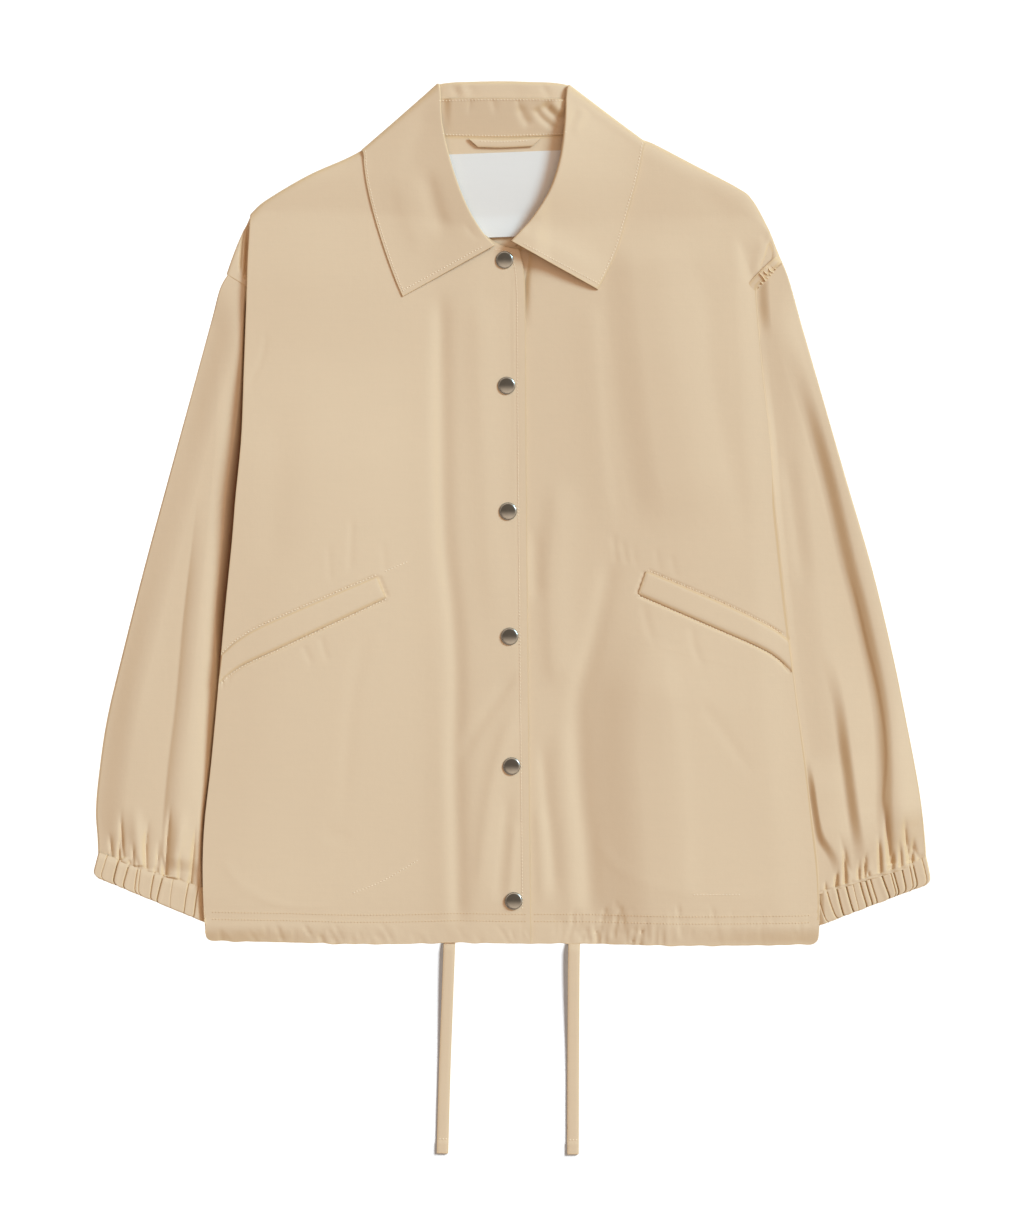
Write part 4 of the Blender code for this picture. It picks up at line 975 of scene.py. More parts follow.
def armhole_puckers():
    """Drawn-in cloth along the left armhole seam, in short uneven ridges."""
    start, run, out = np.array([204.2, 192.2]), np.array([0.72, 0.694]), np.array([-0.694, 0.72])
    s, aside = np.linspace(0, 24, 90)[:, None], np.linspace(-4.4, 6.4, 26)[None, :]
    flat = start + run * s[..., None] + out * aside[..., None]
    points, _ = drop(surface("front_left_cloth"), flat.reshape(-1, 2))
    height = points.reshape(*flat.shape[:2], 3)[..., 2]
    inside_it = ramp(aside + np.sin(1.9 * s), -4.4, -1.6)
    inside_it = inside_it * (1 - ramp(aside + 1.6 * np.sin(1.3 * s), 1.2, 5.0))
    inside_it = inside_it * ramp(s, 0, 7) * (1 - ramp(s, 18, 24))
    ridge = 0.5 + 0.5 * np.sin(2.3 * s + 0.5 * aside * np.sin(0.7 * s) + 1.6 * np.sin(0.9 * s))
    tall = 1.3 + 0.8 * np.sin(1.6 * s + 1)
    upper = np.dstack([flat, height - 0.5 + inside_it * (0.5 + tall * ridge)])
    return sheet("armhole_puckers", upper, upper - (0, 0, 0.5), 0.1)


def past_seam(x, y, right):
    """Distance of points of a sleeve below its armhole seam."""
    seam = SEAM_RIGHT if right else SEAM_LEFT
    return seam.down_x * (x - seam.x) + seam.down_y * (y - seam.y)


def back_panel(cloth):
    """Back panel under the fronts, flat on the surface, raised over the sleeves and the collar."""
    rims, tips = [], []
    for right, shoulder in ((True, SHOULDER_RIGHT), (False, SHOULDER_LEFT)):
        up = side_line(right, shoulder[-1])
        outline = np.vstack([up, spline(shoulder)[::-1][1:]])
        rims.append(beside(outline, -BACK_INSET if right else BACK_INSET))
        tips.append(len(up) - 1)
    (right, left), (right_tip, left_tip) = rims, tips
    right[-1], left[-1] = NECK_BACK[0], NECK_BACK[-1]
    hem = hem_line(right[0, 0], left[0, 0]) + (0, 0.8)
    right[0], left[0] = hem[0], hem[-1]
    top = np.vstack([right[right_tip:], spline(NECK_BACK)[1:], left[left_tip:][::-1][1:]])
    across, up = spread((20, 4), (490, 5), (510, 4)), spread((40, 4), (545, 5), (575, 4))
    flat = patch(hem, top, right[:right_tip + 1], left[:left_tip + 1], across, up)
    x, y = flat[..., 0], flat[..., 1]
    relief = creases(x, y, BACK_CREASES) * cloth.crease
    lower = np.dstack([x, y, lift(x, y, BACK_SLOPE) + relief + RESTING])
    upper = lower + (0, 0, CAD_WALL)
    thing = sheet("back_cloth", upper, lower)
    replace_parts(thing, "back")
    return thing


# Sleeves and cuffs
def flat_ring(outer, inner, f, top, nose, folds=()):
    """Rings of a flattened tube: upper side at fractions f with the given heights, then the underside."""
    run = inner - outer
    length = np.linalg.norm(run, axis=1)[:, None]
    edge = np.minimum(f, 1 - f) * length
    round_off = np.sqrt(1 - (1 - np.minimum(1, edge / (0.9 * nose))) ** 2)
    upper = np.dstack([outer[:, None] + run[:, None] * f[..., None], nose + (top - nose) * round_off])
    g = np.linspace(1, 0, 26)[None, 1:-1]
    edge = np.minimum(g, 1 - g) * length
    dip = np.sqrt(1 - (1 - np.minimum(1, edge / (2 * nose))) ** 2)
    flat = outer[:, None] + run[:, None] * g[..., None]
    under = np.dstack([flat, nose * (1 - dip) + RESTING + creases(flat[..., 0], flat[..., 1], folds)])
    return np.concatenate([upper, under], axis=1)


def sleeve(name, right, stations, folds, cloth):
    """Flattened sleeve tube, its inner edge under the body and its end gathered to the cuff."""
    rows = []
    for row in stations:
        edge = along(BODY_EDGE, row.inner_y, "right" if right else "left")
        depth = along(TUCK, row.inner_y, "depth")
        inner_x = edge + depth if right else edge - depth
        rows.append((row.outer_x, row.outer_y, inner_x, row.inner_y, row.loft, depth))
    rows = spline(rows, 20)
    outer, inner, loft, depth = rows[:, 0:2], rows[:, 2:4], rows[:, 4:5], rows[:, 5:6]
    length = np.linalg.norm(inner - outer, axis=1)[:, None]
    step = np.linspace(0, 1, SLEEVE_COLUMNS)
    stops = np.hstack([0 * depth, length - depth - 11, length - 0.5 * depth, length]) / length
    f = np.stack([np.interp(step, (0, 0.58, 0.9, 1), row) for row in stops])
    flat = outer[:, None] + (inner - outer)[:, None] * f[..., None]
    x, y = flat[..., 0], flat[..., 1]
    gap, below = -inside(x, y), past_seam(x, y, right)
    loft = loft * np.sin(np.pi * np.clip(f * 1.12, 0, 1)) ** 0.7
    seam = tip_height(195.0) if right else SHOULDER_STRIP
    edge_height, flat_height = (1.8, 5.0) if right else (4.2, 5.5)
    top = mix(edge_height, flat_height, ramp(f * length, 0, 26))
    top = top + loft * (0.5 if right else ramp(gap, 0, 30))
    top = mix(top, seam - mix(1.3, 0.3, ramp(below, -1.2, 0.2)), 1 - ramp(below, 8, 45))
    if right:
        wide = 3.0 * ramp(y, -270, -150) * (1 - ramp(y, 80, 140))
        top = top - wide * (1 - np.clip(gap / 22, 0, 1)) ** 1.5
        top = mix(1.2, top, 1 - (1 - np.clip((gap + 0.4) / 2.8, 0, 1)) ** 2)
    else:
        top = top - 2.8 * ramp(y, 140, 172) * (1 - ramp(gap, 0, 11)) * ramp(below, -1, 3)
        top = mix(np.minimum(top, TUCKED), top, ramp(gap, -1.6, -0.3))
    top = top + creases(x, y, folds) * cloth.crease * ramp(gap, -4, 6)
    end = np.linspace(0, 1, len(rows))[:, None]
    top = np.maximum(top - 0.6 * ramp(end, 0.974, 0.988), 1.3)
    # Painted shade in the slot beside the right side fold: a mask strongest at the body's edge, reaching
    # wider along the middle of the side
    wide = 2.2 + 6.3 * ramp(y, -150, -70) * (1 - ramp(y, 20, 130))
    painted_slot_shade = np.clip(1 - gap / wide, 0, 1) ** 0.65 * ramp(below, 0, 20) if right else None
    rings = flat_ring(outer, inner, f, top, SLEEVE_NOSE, UNDER_CREASES)
    thing = tube(name, rings, painted_slot_shade)
    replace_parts(thing, name.replace("_cloth", ""))
    return thing


def up_from_cuff(rows):
    """Direction from the lower edge of a cuff to its seam."""
    seam, edge = rows[0], rows[-1]
    up = np.array(seam[:2]) + seam[2:] - edge[:2] - edge[2:]
    return up / np.linalg.norm(up)


def cuff(name, rows, pleats):
    """Elastic cuff band, drawn into uneven pleats that also scallop its edges."""
    up = up_from_cuff(rows)
    rows = spline(rows)
    outer, inner = rows[:, 0:2], rows[:, 2:4]
    f, v = np.linspace(0, 1, CUFF_COLUMNS)[None, :], np.linspace(0, 1, len(rows))[:, None]
    width = np.linalg.norm(inner - outer, axis=1)[:, None]
    top = CUFF_HEIGHT - 2.0 * ramp(f, 0.90, 0.97) - 0.7 * (1 - ramp(v, 0, 0.2)) - 0.4 * ramp(v, 0.8, 1)
    drawn = np.zeros(np.shape(top))
    for row in pleats:
        across = (f - mix(row.seam, row.edge, v)) * width
        top = top - 2.4 * row.depth * np.exp(-np.abs(across) / 0.28)
        top = top + 0.2 * row.depth * np.exp(-((across - 2.4) / 2.2) ** 2)
        drawn += row.depth * np.exp(-(across / 2.4) ** 2)
    rings = flat_ring(outer, inner, np.repeat(f, len(rows), axis=0), np.maximum(top, 1.5), CUFF_NOSE)
    scallop = drawn * (0.45 * ramp(v, 0.6, 1) - 0.7 * (1 - ramp(v, 0, 0.3)))
    rings[:, :CUFF_COLUMNS, :2] += scallop[..., None] * up
    thing = tube(name, rings)
    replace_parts(thing, name.replace("_band", ""))
    return thing


def gathers_above(rows, pleats):
    """Creases of a sleeve that run up from the pleats of its cuff."""
    seam, up = rows[0], up_from_cuff(rows)
    result = []
    for number, row in enumerate(pleats):
        foot = mix(np.array(seam[:2]), np.array(seam[2:]), row.seam)
        length = row.depth * (13 + 9 * math.sin(2.4 * number))
        sway = np.array([2.2 * math.sin(1.7 * number), 0.0])
        path = [foot + up * length + sway, foot + up * length * 0.5 + sway * 0.3, foot - up * 2]
        result.append(Crease(-1.9 * row.depth, 1.0, 1.3, 0.7, 0.02, path, "sharp"))
        beside_it = np.array([3.6, -1.0])
        result.append(Crease(0.5 * row.depth, 3.0, 3.0, 0.7, 0.02, [p + beside_it for p in path]))
    return result


# Collar
def collar_leaf(cloth):
    """Collar from its seam over the roll to the outer edge, round the neck and under the back."""
    wall = cloth.collar_wall / MM
    rows = spline(COLLAR, COLLAR_STEPS)
    roll, edge = rows[:, 0:2], rows[:, 2:4]
    turn, radius, spring, inner, bend = (rows[:, i:i + 1] for i in range(4, 9))
    turn = np.clip(turn, 0, 1)
    run = edge - roll
    run /= np.linalg.norm(run, axis=1)[:, None]
    start = roll + run * (radius + wall / 2)
    width = np.linalg.norm(edge - start, axis=1)[:, None]
    limb, arc = np.linspace(1, 0, 7)[:-1], np.linspace(0, np.pi, 15)
    leaf = spread((1, 0.8), (52, 1.5), (60, 0.8))[1:]
    out = np.hstack([inner * limb, -radius * np.sin(arc), width * leaf])
    depth = np.hstack([-2 * radius + 0 * limb, -radius * (1 + np.cos(arc)), 0 * width * leaf])
    before, after = neighbours(out.shape[1])
    t_out, t_depth = out[:, after] - out[:, before], depth[:, after] - depth[:, before]
    size = np.hypot(t_out, t_depth)
    side = np.where(edge[:, 0:1] < -8, -1, 1)
    angle = np.pi * turn
    grids = []
    for shift in (wall / 2, -wall / 2):
        o, d = out - t_depth / size * shift, depth + t_out / size * shift
        spot = start[:, None] + run[:, None] * o[..., None]
        fade = np.clip(1 - np.maximum(0, o) / width, 0, 1)
        high = front_top(spot[..., 0], spot[..., 1], cloth) + cloth.leaf_seat / MM + wall / 2
        relief = creases(spot[..., 0], spot[..., 1], LEAF_CREASES) * cloth.crease * (turn == 0)
        high += spring * fade ** bend + relief
        low = wall / 2
        swing = (high - low) / 2 + d
        x = spot[..., 0] - side * run[:, 1:2] * np.sin(angle) * swing
        y = spot[..., 1] + side * run[:, 0:1] * np.sin(angle) * swing
        z = (high + low) / 2 + np.cos(angle) * swing
        z += creases(x, y, ROLL_CREASES) * cloth.crease * (turn == 1) * ramp(z, 3, 7)
        grids.append(np.dstack([x, y, z]))
    thing = sheet("collar_leaf", *grids)
    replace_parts(thing, "collar_fall")
    return thing


def collar_stand():
    """Band across the back of the neck between the neck seam and the collar seam."""
    across, up = np.linspace(0, 1, 90), np.linspace(0, 1, 24)
    flat = between(spline(STAND_LOW), spline(STAND_HIGH), across, up)
    x, v = flat[..., 0], up[:, None]
    ends = 1 - ramp(x, -58, -50) + ramp(x, 36, 46)
    z = mix(STAND_RISE[0], STAND_RISE[1] - 2.2 * ends, v) + creases(x, flat[..., 1], STAND_CREASES)
    middle = np.dstack([flat, z])
    shift = normals(middle) * CAD_WALL / 2
    thing = sheet("collar_stand_band", middle + shift, middle - shift)
    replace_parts(thing, "collar_stand")
    return thing


# Pieces that lie on a panel
def strip(name, tree, lines, steps, seat, height, crown=0.0, curl=0.0, look="sand_cotton", slot="cotton"):
    """Strip of cloth lying on a panel between two edge lines; its second edge may stand up."""
    low, high = (spline(line) for line in lines)
    across, up = np.linspace(0, 1, steps[0]), np.linspace(0, 1, steps[1])
    flat = between(low, high, across, up)
    points, outs = drop(tree, flat.reshape(-1, 2))
    points, outs = points.reshape(*flat.shape[:2], 3), outs.reshape(*flat.shape[:2], 3)
    swell = crown * np.sqrt(np.clip(1 - (2 * up[:, None] - 1) ** 2, 0, 1))[..., None]
    seat = seat + curl * ramp(up, 0.72, 1.0)[:, None, None]
    upper = points + outs * (seat + height + swell)
    return sheet(name, upper, points + outs * seat, look=look, slot=slot)


def drawstring(name, path, share, cloth):
    """Flat tape from the hem casing, coming down to the surface, its end folded and sewn."""
    line = walk(spline(path), np.linspace(0, 1, 120))
    width, wall = cloth.tape_width / MM, cloth.tape_wall / MM
    run = reach(line)
    height = share * cloth.tape_rise / MM * (0.4 + 0.6 * ramp(run, 0, 10))
    height = height * (1 - ramp(run, 8, 120)) + 0.15
    painted_fold_colour = ramp(run, run[-1] - 10.5, run[-1] - 9.5)
    across = np.linspace(-1, 1, 13)
    upper, lower = [], []
    for a in across:
        side = beside(line, -a * width / 2)
        crown = 0.25 * (1 - a ** 4)
        upper.append(np.column_stack([side, height + wall * (0.75 + crown) + 0.5 * painted_fold_colour]))
        lower.append(np.column_stack([side, height]))
    thing = sheet(name, np.stack(upper), np.stack(lower), 0.25)
    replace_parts(thing, name.replace("_tape", ""))
    path_points = np.column_stack([line, height + wall / 2]) * MM
    return thing


def stitch_rows(name, tree, rows, cloth, look="sand_thread"):
    """Sewn rows on a surface: one short thread after another, each dipping in at its ends."""
    length, gap, radius = cloth.stitch / MM, cloth.stitch_gap / MM, cloth.thread / MM / 2
    rings = np.array([-0.5, -0.3, 0.0, 0.3, 0.5])
    thick = radius * np.array([0.45, 0.9, 1.0, 0.9, 0.45])
    dip = radius * (0.55 - 4.0 * rings ** 2)
    sides = 6
    size = len(rings) * sides
    angle = 2 * np.pi * np.arange(sides) / sides
    faces = quads(len(rings), sides, True)
    points, corners, caps = [], [], []
    for line in rows:
        total = reach(line)[-1]
        middles = (np.arange(int(total / (length + gap))) + 0.5) * (length + gap)
        if not len(middles):
            continue
        starts, outs = drop(tree, walk(line, (middles - length / 2) / total))
        ends, _ = drop(tree, walk(line, (middles + length / 2) / total))
        run = ends - starts
        side = np.cross(run, outs)
        side /= np.linalg.norm(side, axis=1)[:, None]
        out = np.cross(side, run)
        out /= np.linalg.norm(out, axis=1)[:, None]
        centre = (starts + ends) / 2
        axis = centre[:, None] + run[:, None] * rings[None, :, None] + out[:, None] * dip[None, :, None]
        ring = side[:, None] * np.cos(angle)[None, :, None] + out[:, None] * np.sin(angle)[None, :, None]
        body = axis[:, :, None] + ring[:, None] * thick[None, :, None, None]
        for stitch in body.reshape(len(middles), -1, 3):
            first = len(points) * size
            end = first + size
            points.append(stitch)
            corners += (faces + first).tolist()
            caps += [list(range(first, first + sides))[::-1], list(range(end - sides, end))]
    return piece(name, np.vstack(points), corners + caps, look)


# Sizes and colours
class JacketCloth(bpy.types.PropertyGroup):
    """Sizes of the cloth, its folds and its sewing."""
    collar_wall: FloatProperty(name="Collar cloth", description="Thickness of the doubled collar",
                               default=0.0010, unit="LENGTH")
    leaf_seat: FloatProperty(name="Leaf seat", description="Space between the fronts and the collar's edge",
                             default=0.0003, unit="LENGTH")
    ease: FloatProperty(name="Ease", description="Air between the front and back panels",
                        default=0.0017, unit="LENGTH")
    side_puff: FloatProperty(name="Side puff", description="Extra air beside the side folds",
                             default=0.0006, unit="LENGTH")
    side_roll: FloatProperty(name="Side roll", description="Width of the rounded side folds",
                             default=0.0016, unit="LENGTH")
    shoulder_roll: FloatProperty(name="Shoulder roll", description="Width of the rounded shoulders",
                                 default=0.013, unit="LENGTH")
    crease: FloatProperty(name="Creases", description="Share of the heights in the crease tables",
                          default=1.0, min=0.0, max=2.0, subtype="FACTOR")
    gather: FloatProperty(name="Hem gathers", description="Share of the hem casing's relief",
                          default=1.0, min=0.0, max=2.0, subtype="FACTOR")
    tape_width: FloatProperty(name="Tape width", description="Width of the drawstrings",
                              default=0.0094, unit="LENGTH")
    tape_wall: FloatProperty(name="Tape thickness", description="Thickness of the drawstrings",
                             default=0.0014, unit="LENGTH")
    tape_rise: FloatProperty(name="Tape rise", description="Height at which the drawstrings leave the hem",
                             default=0.0032, unit="LENGTH")
    snap_radius: FloatProperty(name="Snap radius", description="Radius of a snap's cap",
                               default=0.0074, unit="LENGTH")
    snap_height: FloatProperty(name="Snap height", description="Height of a snap's cap",
                               default=0.0021, unit="LENGTH")
    stitch: FloatProperty(name="Stitch", description="Length of one stitch", default=0.0014, unit="LENGTH")
    stitch_gap: FloatProperty(name="Stitch gap", description="Space between two stitches",
                              default=0.0013, unit="LENGTH")
    thread: FloatProperty(name="Thread", description="Diameter of the sewing thread",
                          default=0.0007, unit="LENGTH")


class JacketColours(bpy.types.PropertyGroup):
    """Colours of the finishes."""
    cotton: FloatVectorProperty(name="Cotton", description="Sand-coloured cotton", subtype="COLOR",
                                default=(0.692, 0.533, 0.364), min=0.0, max=1.0)
    thread: FloatVectorProperty(name="Thread", description="Sewing thread", subtype="COLOR",
                                default=(0.89, 0.76, 0.585), min=0.0, max=1.0)
    label: FloatVectorProperty(name="Label", description="White woven label", subtype="COLOR",
                               default=(0.74, 0.73, 0.71), min=0.0, max=1.0)
    nickel: FloatVectorProperty(name="Nickel", description="Satin metal of the snaps", subtype="COLOR",
                                default=(0.60, 0.63, 0.60), min=0.0, max=1.0)
    floor: FloatVectorProperty(name="Floor", description="Pale surface under the jacket", subtype="COLOR",
                               default=(0.74, 0.80, 0.84), min=0.0, max=1.0)


class JacketStage(bpy.types.PropertyGroup):
    """Camera and light."""
    camera_height: FloatProperty(name="Camera height", description="Height of the camera over the jacket",
                                 default=4.0, unit="LENGTH")
    frame_height: FloatProperty(name="Frame height", description="Height of the picture on the jacket",
                                default=1.034, unit="LENGTH")
    frame_centre: FloatProperty(name="Frame centre", description="Place of the picture's centre along Y",
                                default=-0.0861, unit="LENGTH")
    sun: FloatProperty(name="Key light", description="Strength of the key light", default=2.70,
                       subtype="UNSIGNED")
    sun_angle: FloatProperty(name="Key softness", description="Angle that the key light covers",
                             default=math.radians(20), subtype="ANGLE")
    sun_height: FloatProperty(name="Key height", description="Angle of the key light above the surface",
                              default=math.radians(35), subtype="ANGLE")
    sun_turn: FloatProperty(name="Key direction", description="Side that the key light comes from, from +X",
                            default=math.radians(33), subtype="ANGLE")
    fill: FloatProperty(name="Fill light", description="Strength of the even light all round",
                        default=0.20, subtype="UNSIGNED")
    wrap: FloatProperty(name="Wrap light", description="Strength of the broad light beside the key light",
                        default=1.15, subtype="UNSIGNED")
    floor_light: FloatProperty(name="Floor light", description="Strength of the light on the floor alone",
                               default=5.9, subtype="UNSIGNED")
    glow: FloatProperty(name="Floor glow", description="Light of the white surface itself",
                        default=0.10, subtype="UNSIGNED")


# Operators
class JACKET_OT_stage(bpy.types.Operator):
    """Pale floor with its own light, key and wrap lights from the wearer's left, fill and the camera"""
    bl_idname = "jacket.stage"
    bl_label = "Stage"

    def execute(self, context):
        stage = context.scene.jacket_stage
        floor = self.lay_floor(context, tuple(context.scene.jacket_colours.floor), stage.glow)
        on_floor, beside_floor, shading = (bpy.data.collections.new(name) for name in
                                           ("floor_only", "all_but_floor", "floor_shading"))
        on_floor.objects.link(floor)
        beside_floor.objects.link(floor)
        beside_floor.collection_objects[0].light_linking.link_state = "EXCLUDE"
        key = self.shine(context, "key_light", stage.sun, stage.sun_angle, stage.sun_height, KEY_COLOUR)
        key.receiver_collection = beside_floor
        wrap = self.shine(context, "wrap_light", stage.wrap, WRAP_ANGLE, WRAP_HEIGHT, WRAP_COLOUR)
        wrap.receiver_collection = beside_floor
        below = self.shine(context, "floor_light", stage.floor_light, stage.sun_angle, stage.sun_height)
        below.receiver_collection, below.blocker_collection = on_floor, shading
        world = bpy.data.worlds.new("even_fill")
        world.use_nodes = True
        world.node_tree.nodes["Background"].inputs["Color"].default_value = (*FILL_COLOUR, 1.0)
        world.node_tree.nodes["Background"].inputs["Strength"].default_value = stage.fill
        context.scene.world = world
        lens = bpy.data.cameras.new("camera")
        lens.sensor_width = 36.0
        lens.lens = lens.sensor_width * stage.camera_height / stage.frame_height
        camera = bpy.data.objects.new("camera", lens)
        camera.location = (0.0, stage.frame_centre, stage.camera_height)
        context.scene.collection.objects.link(camera)
        context.scene.camera = camera
        context.scene.view_settings.view_transform = "Standard"
        return {"FINISHED"}

    def lay_floor(self, context, colour, glow):
        """Wide white surface under the jacket."""
        bpy.ops.object.select_all(action="DESELECT")
        bpy.ops.mesh.primitive_plane_add(size=FLOOR_SIZE, location=(0, 0, FLOOR_HEIGHT))
        floor = context.object
        floor.name = "floor"
        bpy.ops.object.transform_apply(location=True, rotation=True, scale=True)
        look, tree, shader = material("pale_floor", colour, 0.9, {"Emission Color": (1.0, 1.0, 1.0, 1.0),
                                                                  "Emission Strength": glow})
        place = add_node(tree, "ShaderNodeTexCoord", out="Object")
        grain = add_node(tree, "ShaderNodeTexNoise", None, {"Vector": place, "Scale": 3.0, "Detail": 2.0})
        tone = tinted(tree, grain, tuple(c * 0.985 for c in colour), colour)
        tree.links.new(tone.socket, shader.inputs["Base Color"])
        floor.data.materials.append(look)
        return floor

    def shine(self, context, name, strength, angle, height, colour=(1.0, 1.0, 1.0)):
        """Put a sun in the scene, on the key light's side; gives its light linking."""
        light = bpy.data.lights.new(name, "SUN")
        light.energy, light.angle, light.color = strength, angle, colour
        turn = context.scene.jacket_stage.sun_turn
        towards = Vector((math.cos(turn), math.sin(turn), 0)) * math.cos(height)
        towards.z = math.sin(height)
        thing = bpy.data.objects.new(name, light)
        thing.rotation_euler = towards.to_track_quat("Z", "Y").to_euler()
        thing.location = towards * 3
        context.scene.collection.objects.link(thing)
        return thing.light_linking


class JACKET_OT_drawstrings(bpy.types.Operator):
    """Two flat tapes that come out of the hem casing"""
    bl_idname = "jacket.drawstrings"
    bl_label = "Drawstrings"

    def execute(self, context):
        cloth = context.scene.jacket_cloth
        for side, path, share in (("right", TAPE_RIGHT, 0.6), ("left", TAPE_LEFT, 0.85)):
            thing = drawstring(f"drawstring_{side}_tape", path, share, cloth)
            bpy.data.collections["floor_shading"].objects.link(thing)
        return {"FINISHED"}


class JACKET_OT_body(bpy.types.Operator):
    """Back panel and the two fronts"""
    bl_idname = "jacket.body"
    bl_label = "Body panels"

    def execute(self, context):
        cloth = context.scene.jacket_cloth
        thing = back_panel(cloth)
        fronts = (("right", PLACKET, NECK_RIGHT, SHOULDER_RIGHT, FRONT_RIGHT_CREASES),
                  ("left", UNDERLAP, NECK_LEFT, SHOULDER_LEFT, FRONT_LEFT_CREASES))
        for side, inner, neck, shoulder, folds in fronts:
            thing = front_panel(f"front_{side}_cloth", side == "right", inner, neck, shoulder, folds, cloth)
        return {"FINISHED"}


class JACKET_OT_sleeves(bpy.types.Operator):
    """Sleeves beside the body and their gathered cuffs"""
    bl_idname = "jacket.sleeves"
    bl_label = "Sleeves and cuffs"

    def execute(self, context):
        cloth = context.scene.jacket_cloth
        sides = (("right", SLEEVE_RIGHT, SLEEVE_RIGHT_CREASES, CUFF_RIGHT, PLEATS_RIGHT),
                 ("left", SLEEVE_LEFT, SLEEVE_LEFT_CREASES, CUFF_LEFT, PLEATS_LEFT))
        for side, stations, folds, rows, pleats in sides:
            folds = folds + gathers_above(rows, pleats)
            thing = sleeve(f"sleeve_{side}_cloth", side == "right", stations, folds, cloth)
        armhole_puckers()
        for side, _, _, rows, pleats in sides:
            thing = cuff(f"cuff_{side}_band", rows, pleats)
        return {"FINISHED"}


class JACKET_OT_collar(bpy.types.Operator):
    """Pointed collar and its stand"""
    bl_idname = "jacket.collar"
    bl_label = "Collar"

    def execute(self, context):
        thing = collar_leaf(context.scene.jacket_cloth)
        thing = collar_stand()
        return {"FINISHED"}


class JACKET_OT_neck_trims(bpy.types.Operator):
    """Bare white label and hanger loop inside the back neck"""
    bl_idname = "jacket.neck_trims"
    bl_label = "Label and loop"

    def execute(self, context):
        tree = surface("back_cloth")
        thing = strip("neck_label_cloth", tree, LABEL, (40, 40), 0.35, 0.5, curl=2.4,
                      look="white_label", slot="label")
        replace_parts(thing, "neck_label")
        thing = strip("hanger_loop_tape", tree, LOOP, (60, 8), 0.9, 1.2, crown=0.5)
        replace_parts(thing, "hanger_loop")
        return {"FINISHED"}


class JACKET_OT_pocket_welts(bpy.types.Operator):
    """Slanted welts on the fronts"""
    bl_idname = "jacket.pocket_welts"
    bl_label = "Pocket welts"

    def execute(self, context):
        for side, lines in (("right", WELT_RIGHT), ("left", WELT_LEFT)):
            front = f"front_{side}_cloth"
            thing = strip(f"pocket_welt_{side}_strip", surface(front), lines, (110, 14), -0.2, 1.1,
                          crown=0.1)
            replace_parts(thing, f"pocket_welt_{side}")
        return {"FINISHED"}


class JACKET_OT_snaps(bpy.types.Operator):
    """Six domed metal caps down the right front"""
    bl_idname = "jacket.snaps"
    bl_label = "Snaps"

    def execute(self, context):
        cloth = context.scene.jacket_cloth
        cap = self.model_cap(context, cloth.snap_radius, cloth.snap_height)
        tree = surface("front_right_cloth")
        for number, spot in enumerate(SNAPS, 1):
            round_spot = [(spot.x + 5 * math.cos(a), spot.y + 5 * math.sin(a)) for a in range(6)]
            seat = drop(tree, round_spot + [spot])[0][:, 2].max()
            mesh = cap.data.copy()
            mesh.transform(Matrix.Translation(Vector((spot.x, spot.y, seat + 0.1)) * MM))
            thing = bpy.data.objects.new(f"snap_{number}_cap", mesh)
            context.scene.collection.objects.link(thing)
            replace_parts(settle(thing), f"snap_{number}")
        bpy.data.objects.remove(cap, do_unlink=True)
        return {"FINISHED"}

    def model_cap(self, context, radius, height):
        """Disc with a rolled rim and a low dome, modelled at the origin."""
        bpy.ops.object.select_all(action="DESELECT")
        bpy.ops.mesh.primitive_cylinder_add(vertices=48, radius=radius, depth=height * 0.5,
                                            location=(0, 0, height * 0.25))
        cap = context.object
        bpy.ops.object.transform_apply(location=True, rotation=True, scale=True)
        bpy.ops.object.mode_set(mode="EDIT")
        bpy.ops.mesh.select_mode(type="FACE")
        bpy.ops.mesh.select_all(action="DESELECT")
        work = bmesh.from_edit_mesh(cap.data)
        for face in work.faces:
            face.select = face.normal.z > 0.9
        bmesh.update_edit_mesh(cap.data)
        for inset, raised in ((0.10, 0.16), (0.16, 0.16), (0.22, 0.11), (0.26, 0.07)):
            bpy.ops.mesh.inset(thickness=radius * inset, depth=height * raised)
        bpy.ops.object.mode_set(mode="OBJECT")
        rim = cap.modifiers.new("rim", "BEVEL")
        rim.width, rim.segments, rim.limit_method = radius * 0.06, 2, "ANGLE"
        bpy.ops.object.modifier_apply(modifier=rim.name)
        dome = cap.modifiers.new("dome", "SUBSURF")
        dome.levels = dome.render_levels = 1
        bpy.ops.object.modifier_apply(modifier=dome.name)
        bpy.ops.object.shade_smooth()
        # Painted reflection: dark towards the top of the cap, light towards its bottom, and a ring near the
        # rim lighter towards -X
        painted_reflection = cap.data.attributes.new("painted_reflection", "FLOAT", "POINT")
        for point, value in zip(cap.data.vertices, painted_reflection.data):
            out = point.co.xy.length / radius
            across, up = point.co.x / radius, point.co.y / radius
            ring = ramp(out, 0.80, 0.88) * (1 - ramp(out, 0.94, 1.0))
            value.value = float(mix(0.03 + 0.72 * ramp(-up, -0.15, 0.85), 0.75 - 0.2 * across, ring))
        cap.data.materials.append(look_of("nickel_painted_reflection"))
        return cap


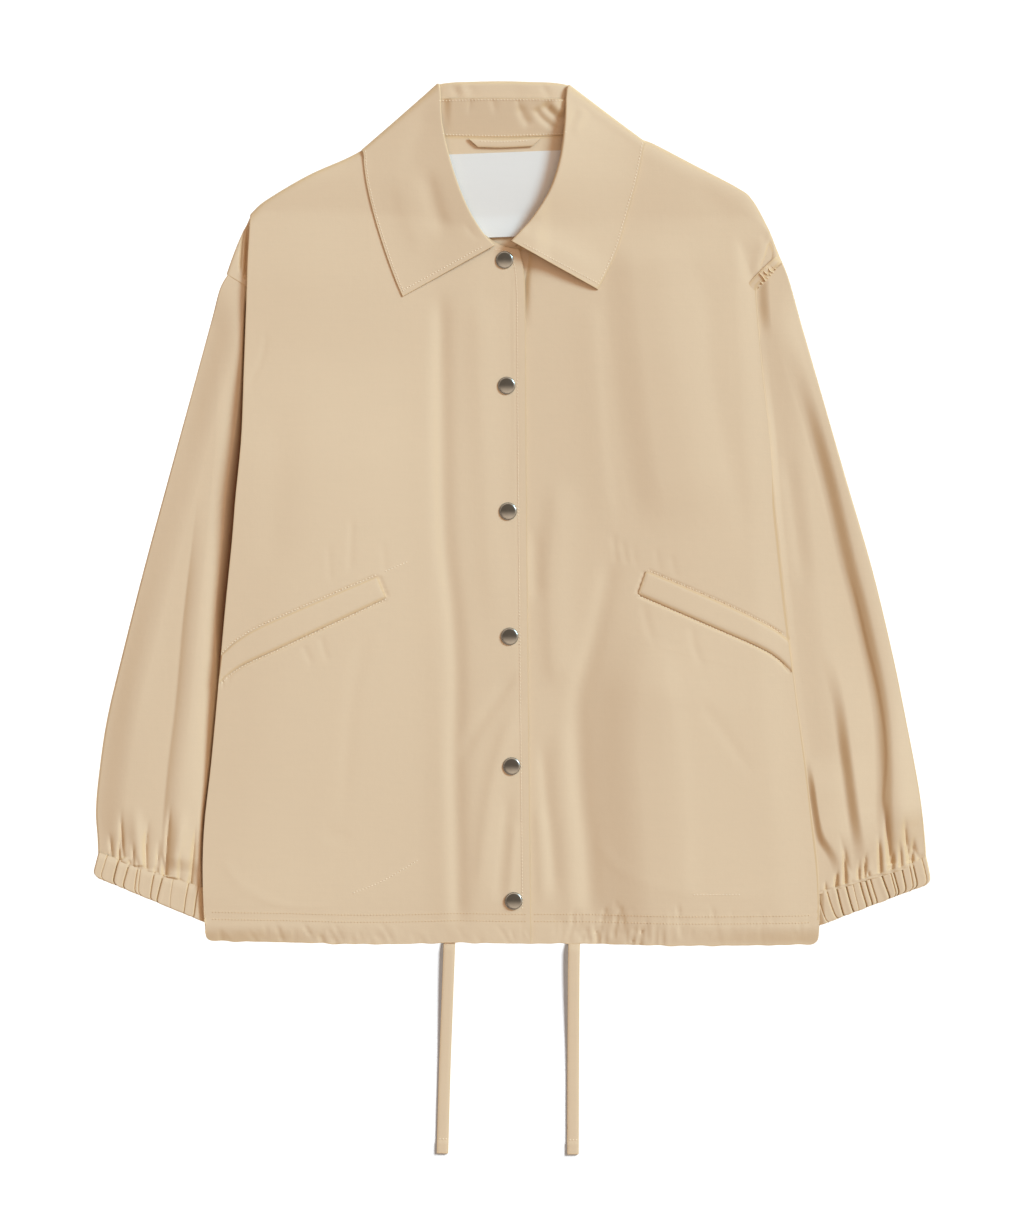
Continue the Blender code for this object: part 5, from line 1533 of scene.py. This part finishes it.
class JACKET_OT_stitching(bpy.types.Operator):
    """Sewn rows on the fronts, pockets, collar, neck and drawstrings"""
    bl_idname = "jacket.stitching"
    bl_label = "Stitching"

    def execute(self, context):
        cloth = context.scene.jacket_cloth
        fronts = surface("front_right_cloth", "front_left_cloth")
        placket = beside(spline(PLACKET), PLACKET_ROW)
        placket = placket[(placket[:, 1] > -337) & (placket[:, 1] < 217)]
        stitch_rows("placket_stitches", fronts, [placket, spline(PLACKET_TOP)], cloth)
        hem = [hem_line(a, b) + (0, row) for row in HEM_ROWS for a, b in ((-252, 14), (18, 252))]
        stitch_rows("hem_stitches", fronts, hem, cloth, "sand_cotton")
        for side, (high, low), extra in (("right", WELT_RIGHT, POCKET_ROWS_RIGHT),
                                         ("left", WELT_LEFT, POCKET_ROWS_LEFT)):
            turn = 1 if side == "right" else -1
            rows = [beside(spline(high), -1.7 * turn), beside(spline(low), 1.7 * turn)]
            rows += [spline(row) for row in extra]
            stitch_rows(f"pocket_stitches_{side}", fronts, rows, cloth)
        stitch_rows("collar_stitches", surface("collar_leaf"), self.collar_rows(), cloth)
        neck = surface("collar_leaf", "collar_stand_band", "hanger_loop_tape")
        stitch_rows("neck_stitches", neck, [spline(row) for row in NECK_ROWS], cloth)
        for side in ("right", "left"):
            name = f"drawstring_{side}_tape"
            end = walk(tops[name][:, -9, :2], np.linspace(0.06, 0.94, 9))
            stitch_rows(f"drawstring_stitches_{side}", surface(name), [end], cloth)
        return {"FINISHED"}

    def collar_rows(self):
        """Rows just inside the edges of both leaves."""
        grid = tops["collar_leaf"][..., :2]
        outer = grid[:, -3]
        lie = [row.turn == 0 for row in COLLAR]
        first = lie.index(False) * COLLAR_STEPS
        last = (len(lie) - lie[::-1].index(False) - 1) * COLLAR_STEPS
        right_end = mix(grid[0], grid[COLLAR_STEPS], 0.28)
        left_end = mix(grid[-1], grid[-1 - COLLAR_STEPS], 0.28)
        return [outer[2:first], outer[last:-2], right_end[LEAF_COLUMN:], left_end[LEAF_COLUMN:]]


class JACKET_PT_panel(bpy.types.Panel):
    """Pieces of the jacket in the order in which they are made"""
    bl_label = "Jacket"
    bl_idname = "JACKET_PT_panel"
    bl_space_type = "VIEW_3D"
    bl_region_type = "UI"
    bl_category = "Jacket"

    def draw(self, context):
        for operator in OPERATORS:
            self.layout.operator(operator.bl_idname)
        for group in (context.scene.jacket_cloth, context.scene.jacket_colours, context.scene.jacket_stage):
            for key in group.bl_rna.properties.keys():
                if key not in ("rna_type", "name"):
                    self.layout.prop(group, key)


OPERATORS = (JACKET_OT_stage, JACKET_OT_drawstrings, JACKET_OT_body, JACKET_OT_sleeves, JACKET_OT_collar,
             JACKET_OT_neck_trims, JACKET_OT_pocket_welts, JACKET_OT_snaps, JACKET_OT_stitching)
GROUPS = {"jacket_cloth": JacketCloth, "jacket_colours": JacketColours, "jacket_stage": JacketStage}


def register():
    """Make the settings, the operators and the panel known."""
    for group in GROUPS.values():
        bpy.utils.register_class(group)
    for name, group in GROUPS.items():
        setattr(bpy.types.Scene, name, PointerProperty(type=group))
    for operator in OPERATORS:
        bpy.utils.register_class(operator)
    bpy.utils.register_class(JACKET_PT_panel)


def unregister():
    """Take them away again."""
    bpy.utils.unregister_class(JACKET_PT_panel)
    for operator in reversed(OPERATORS):
        bpy.utils.unregister_class(operator)
    for name in GROUPS:
        delattr(bpy.types.Scene, name)
    for group in GROUPS.values():
        bpy.utils.unregister_class(group)


def main():
    """Make the jacket and its stage."""
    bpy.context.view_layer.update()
    register()
    for operator in OPERATORS:
        group, action = operator.bl_idname.split(".")
        getattr(getattr(bpy.ops, group), action)()


if __name__ == "__main__":
    main()
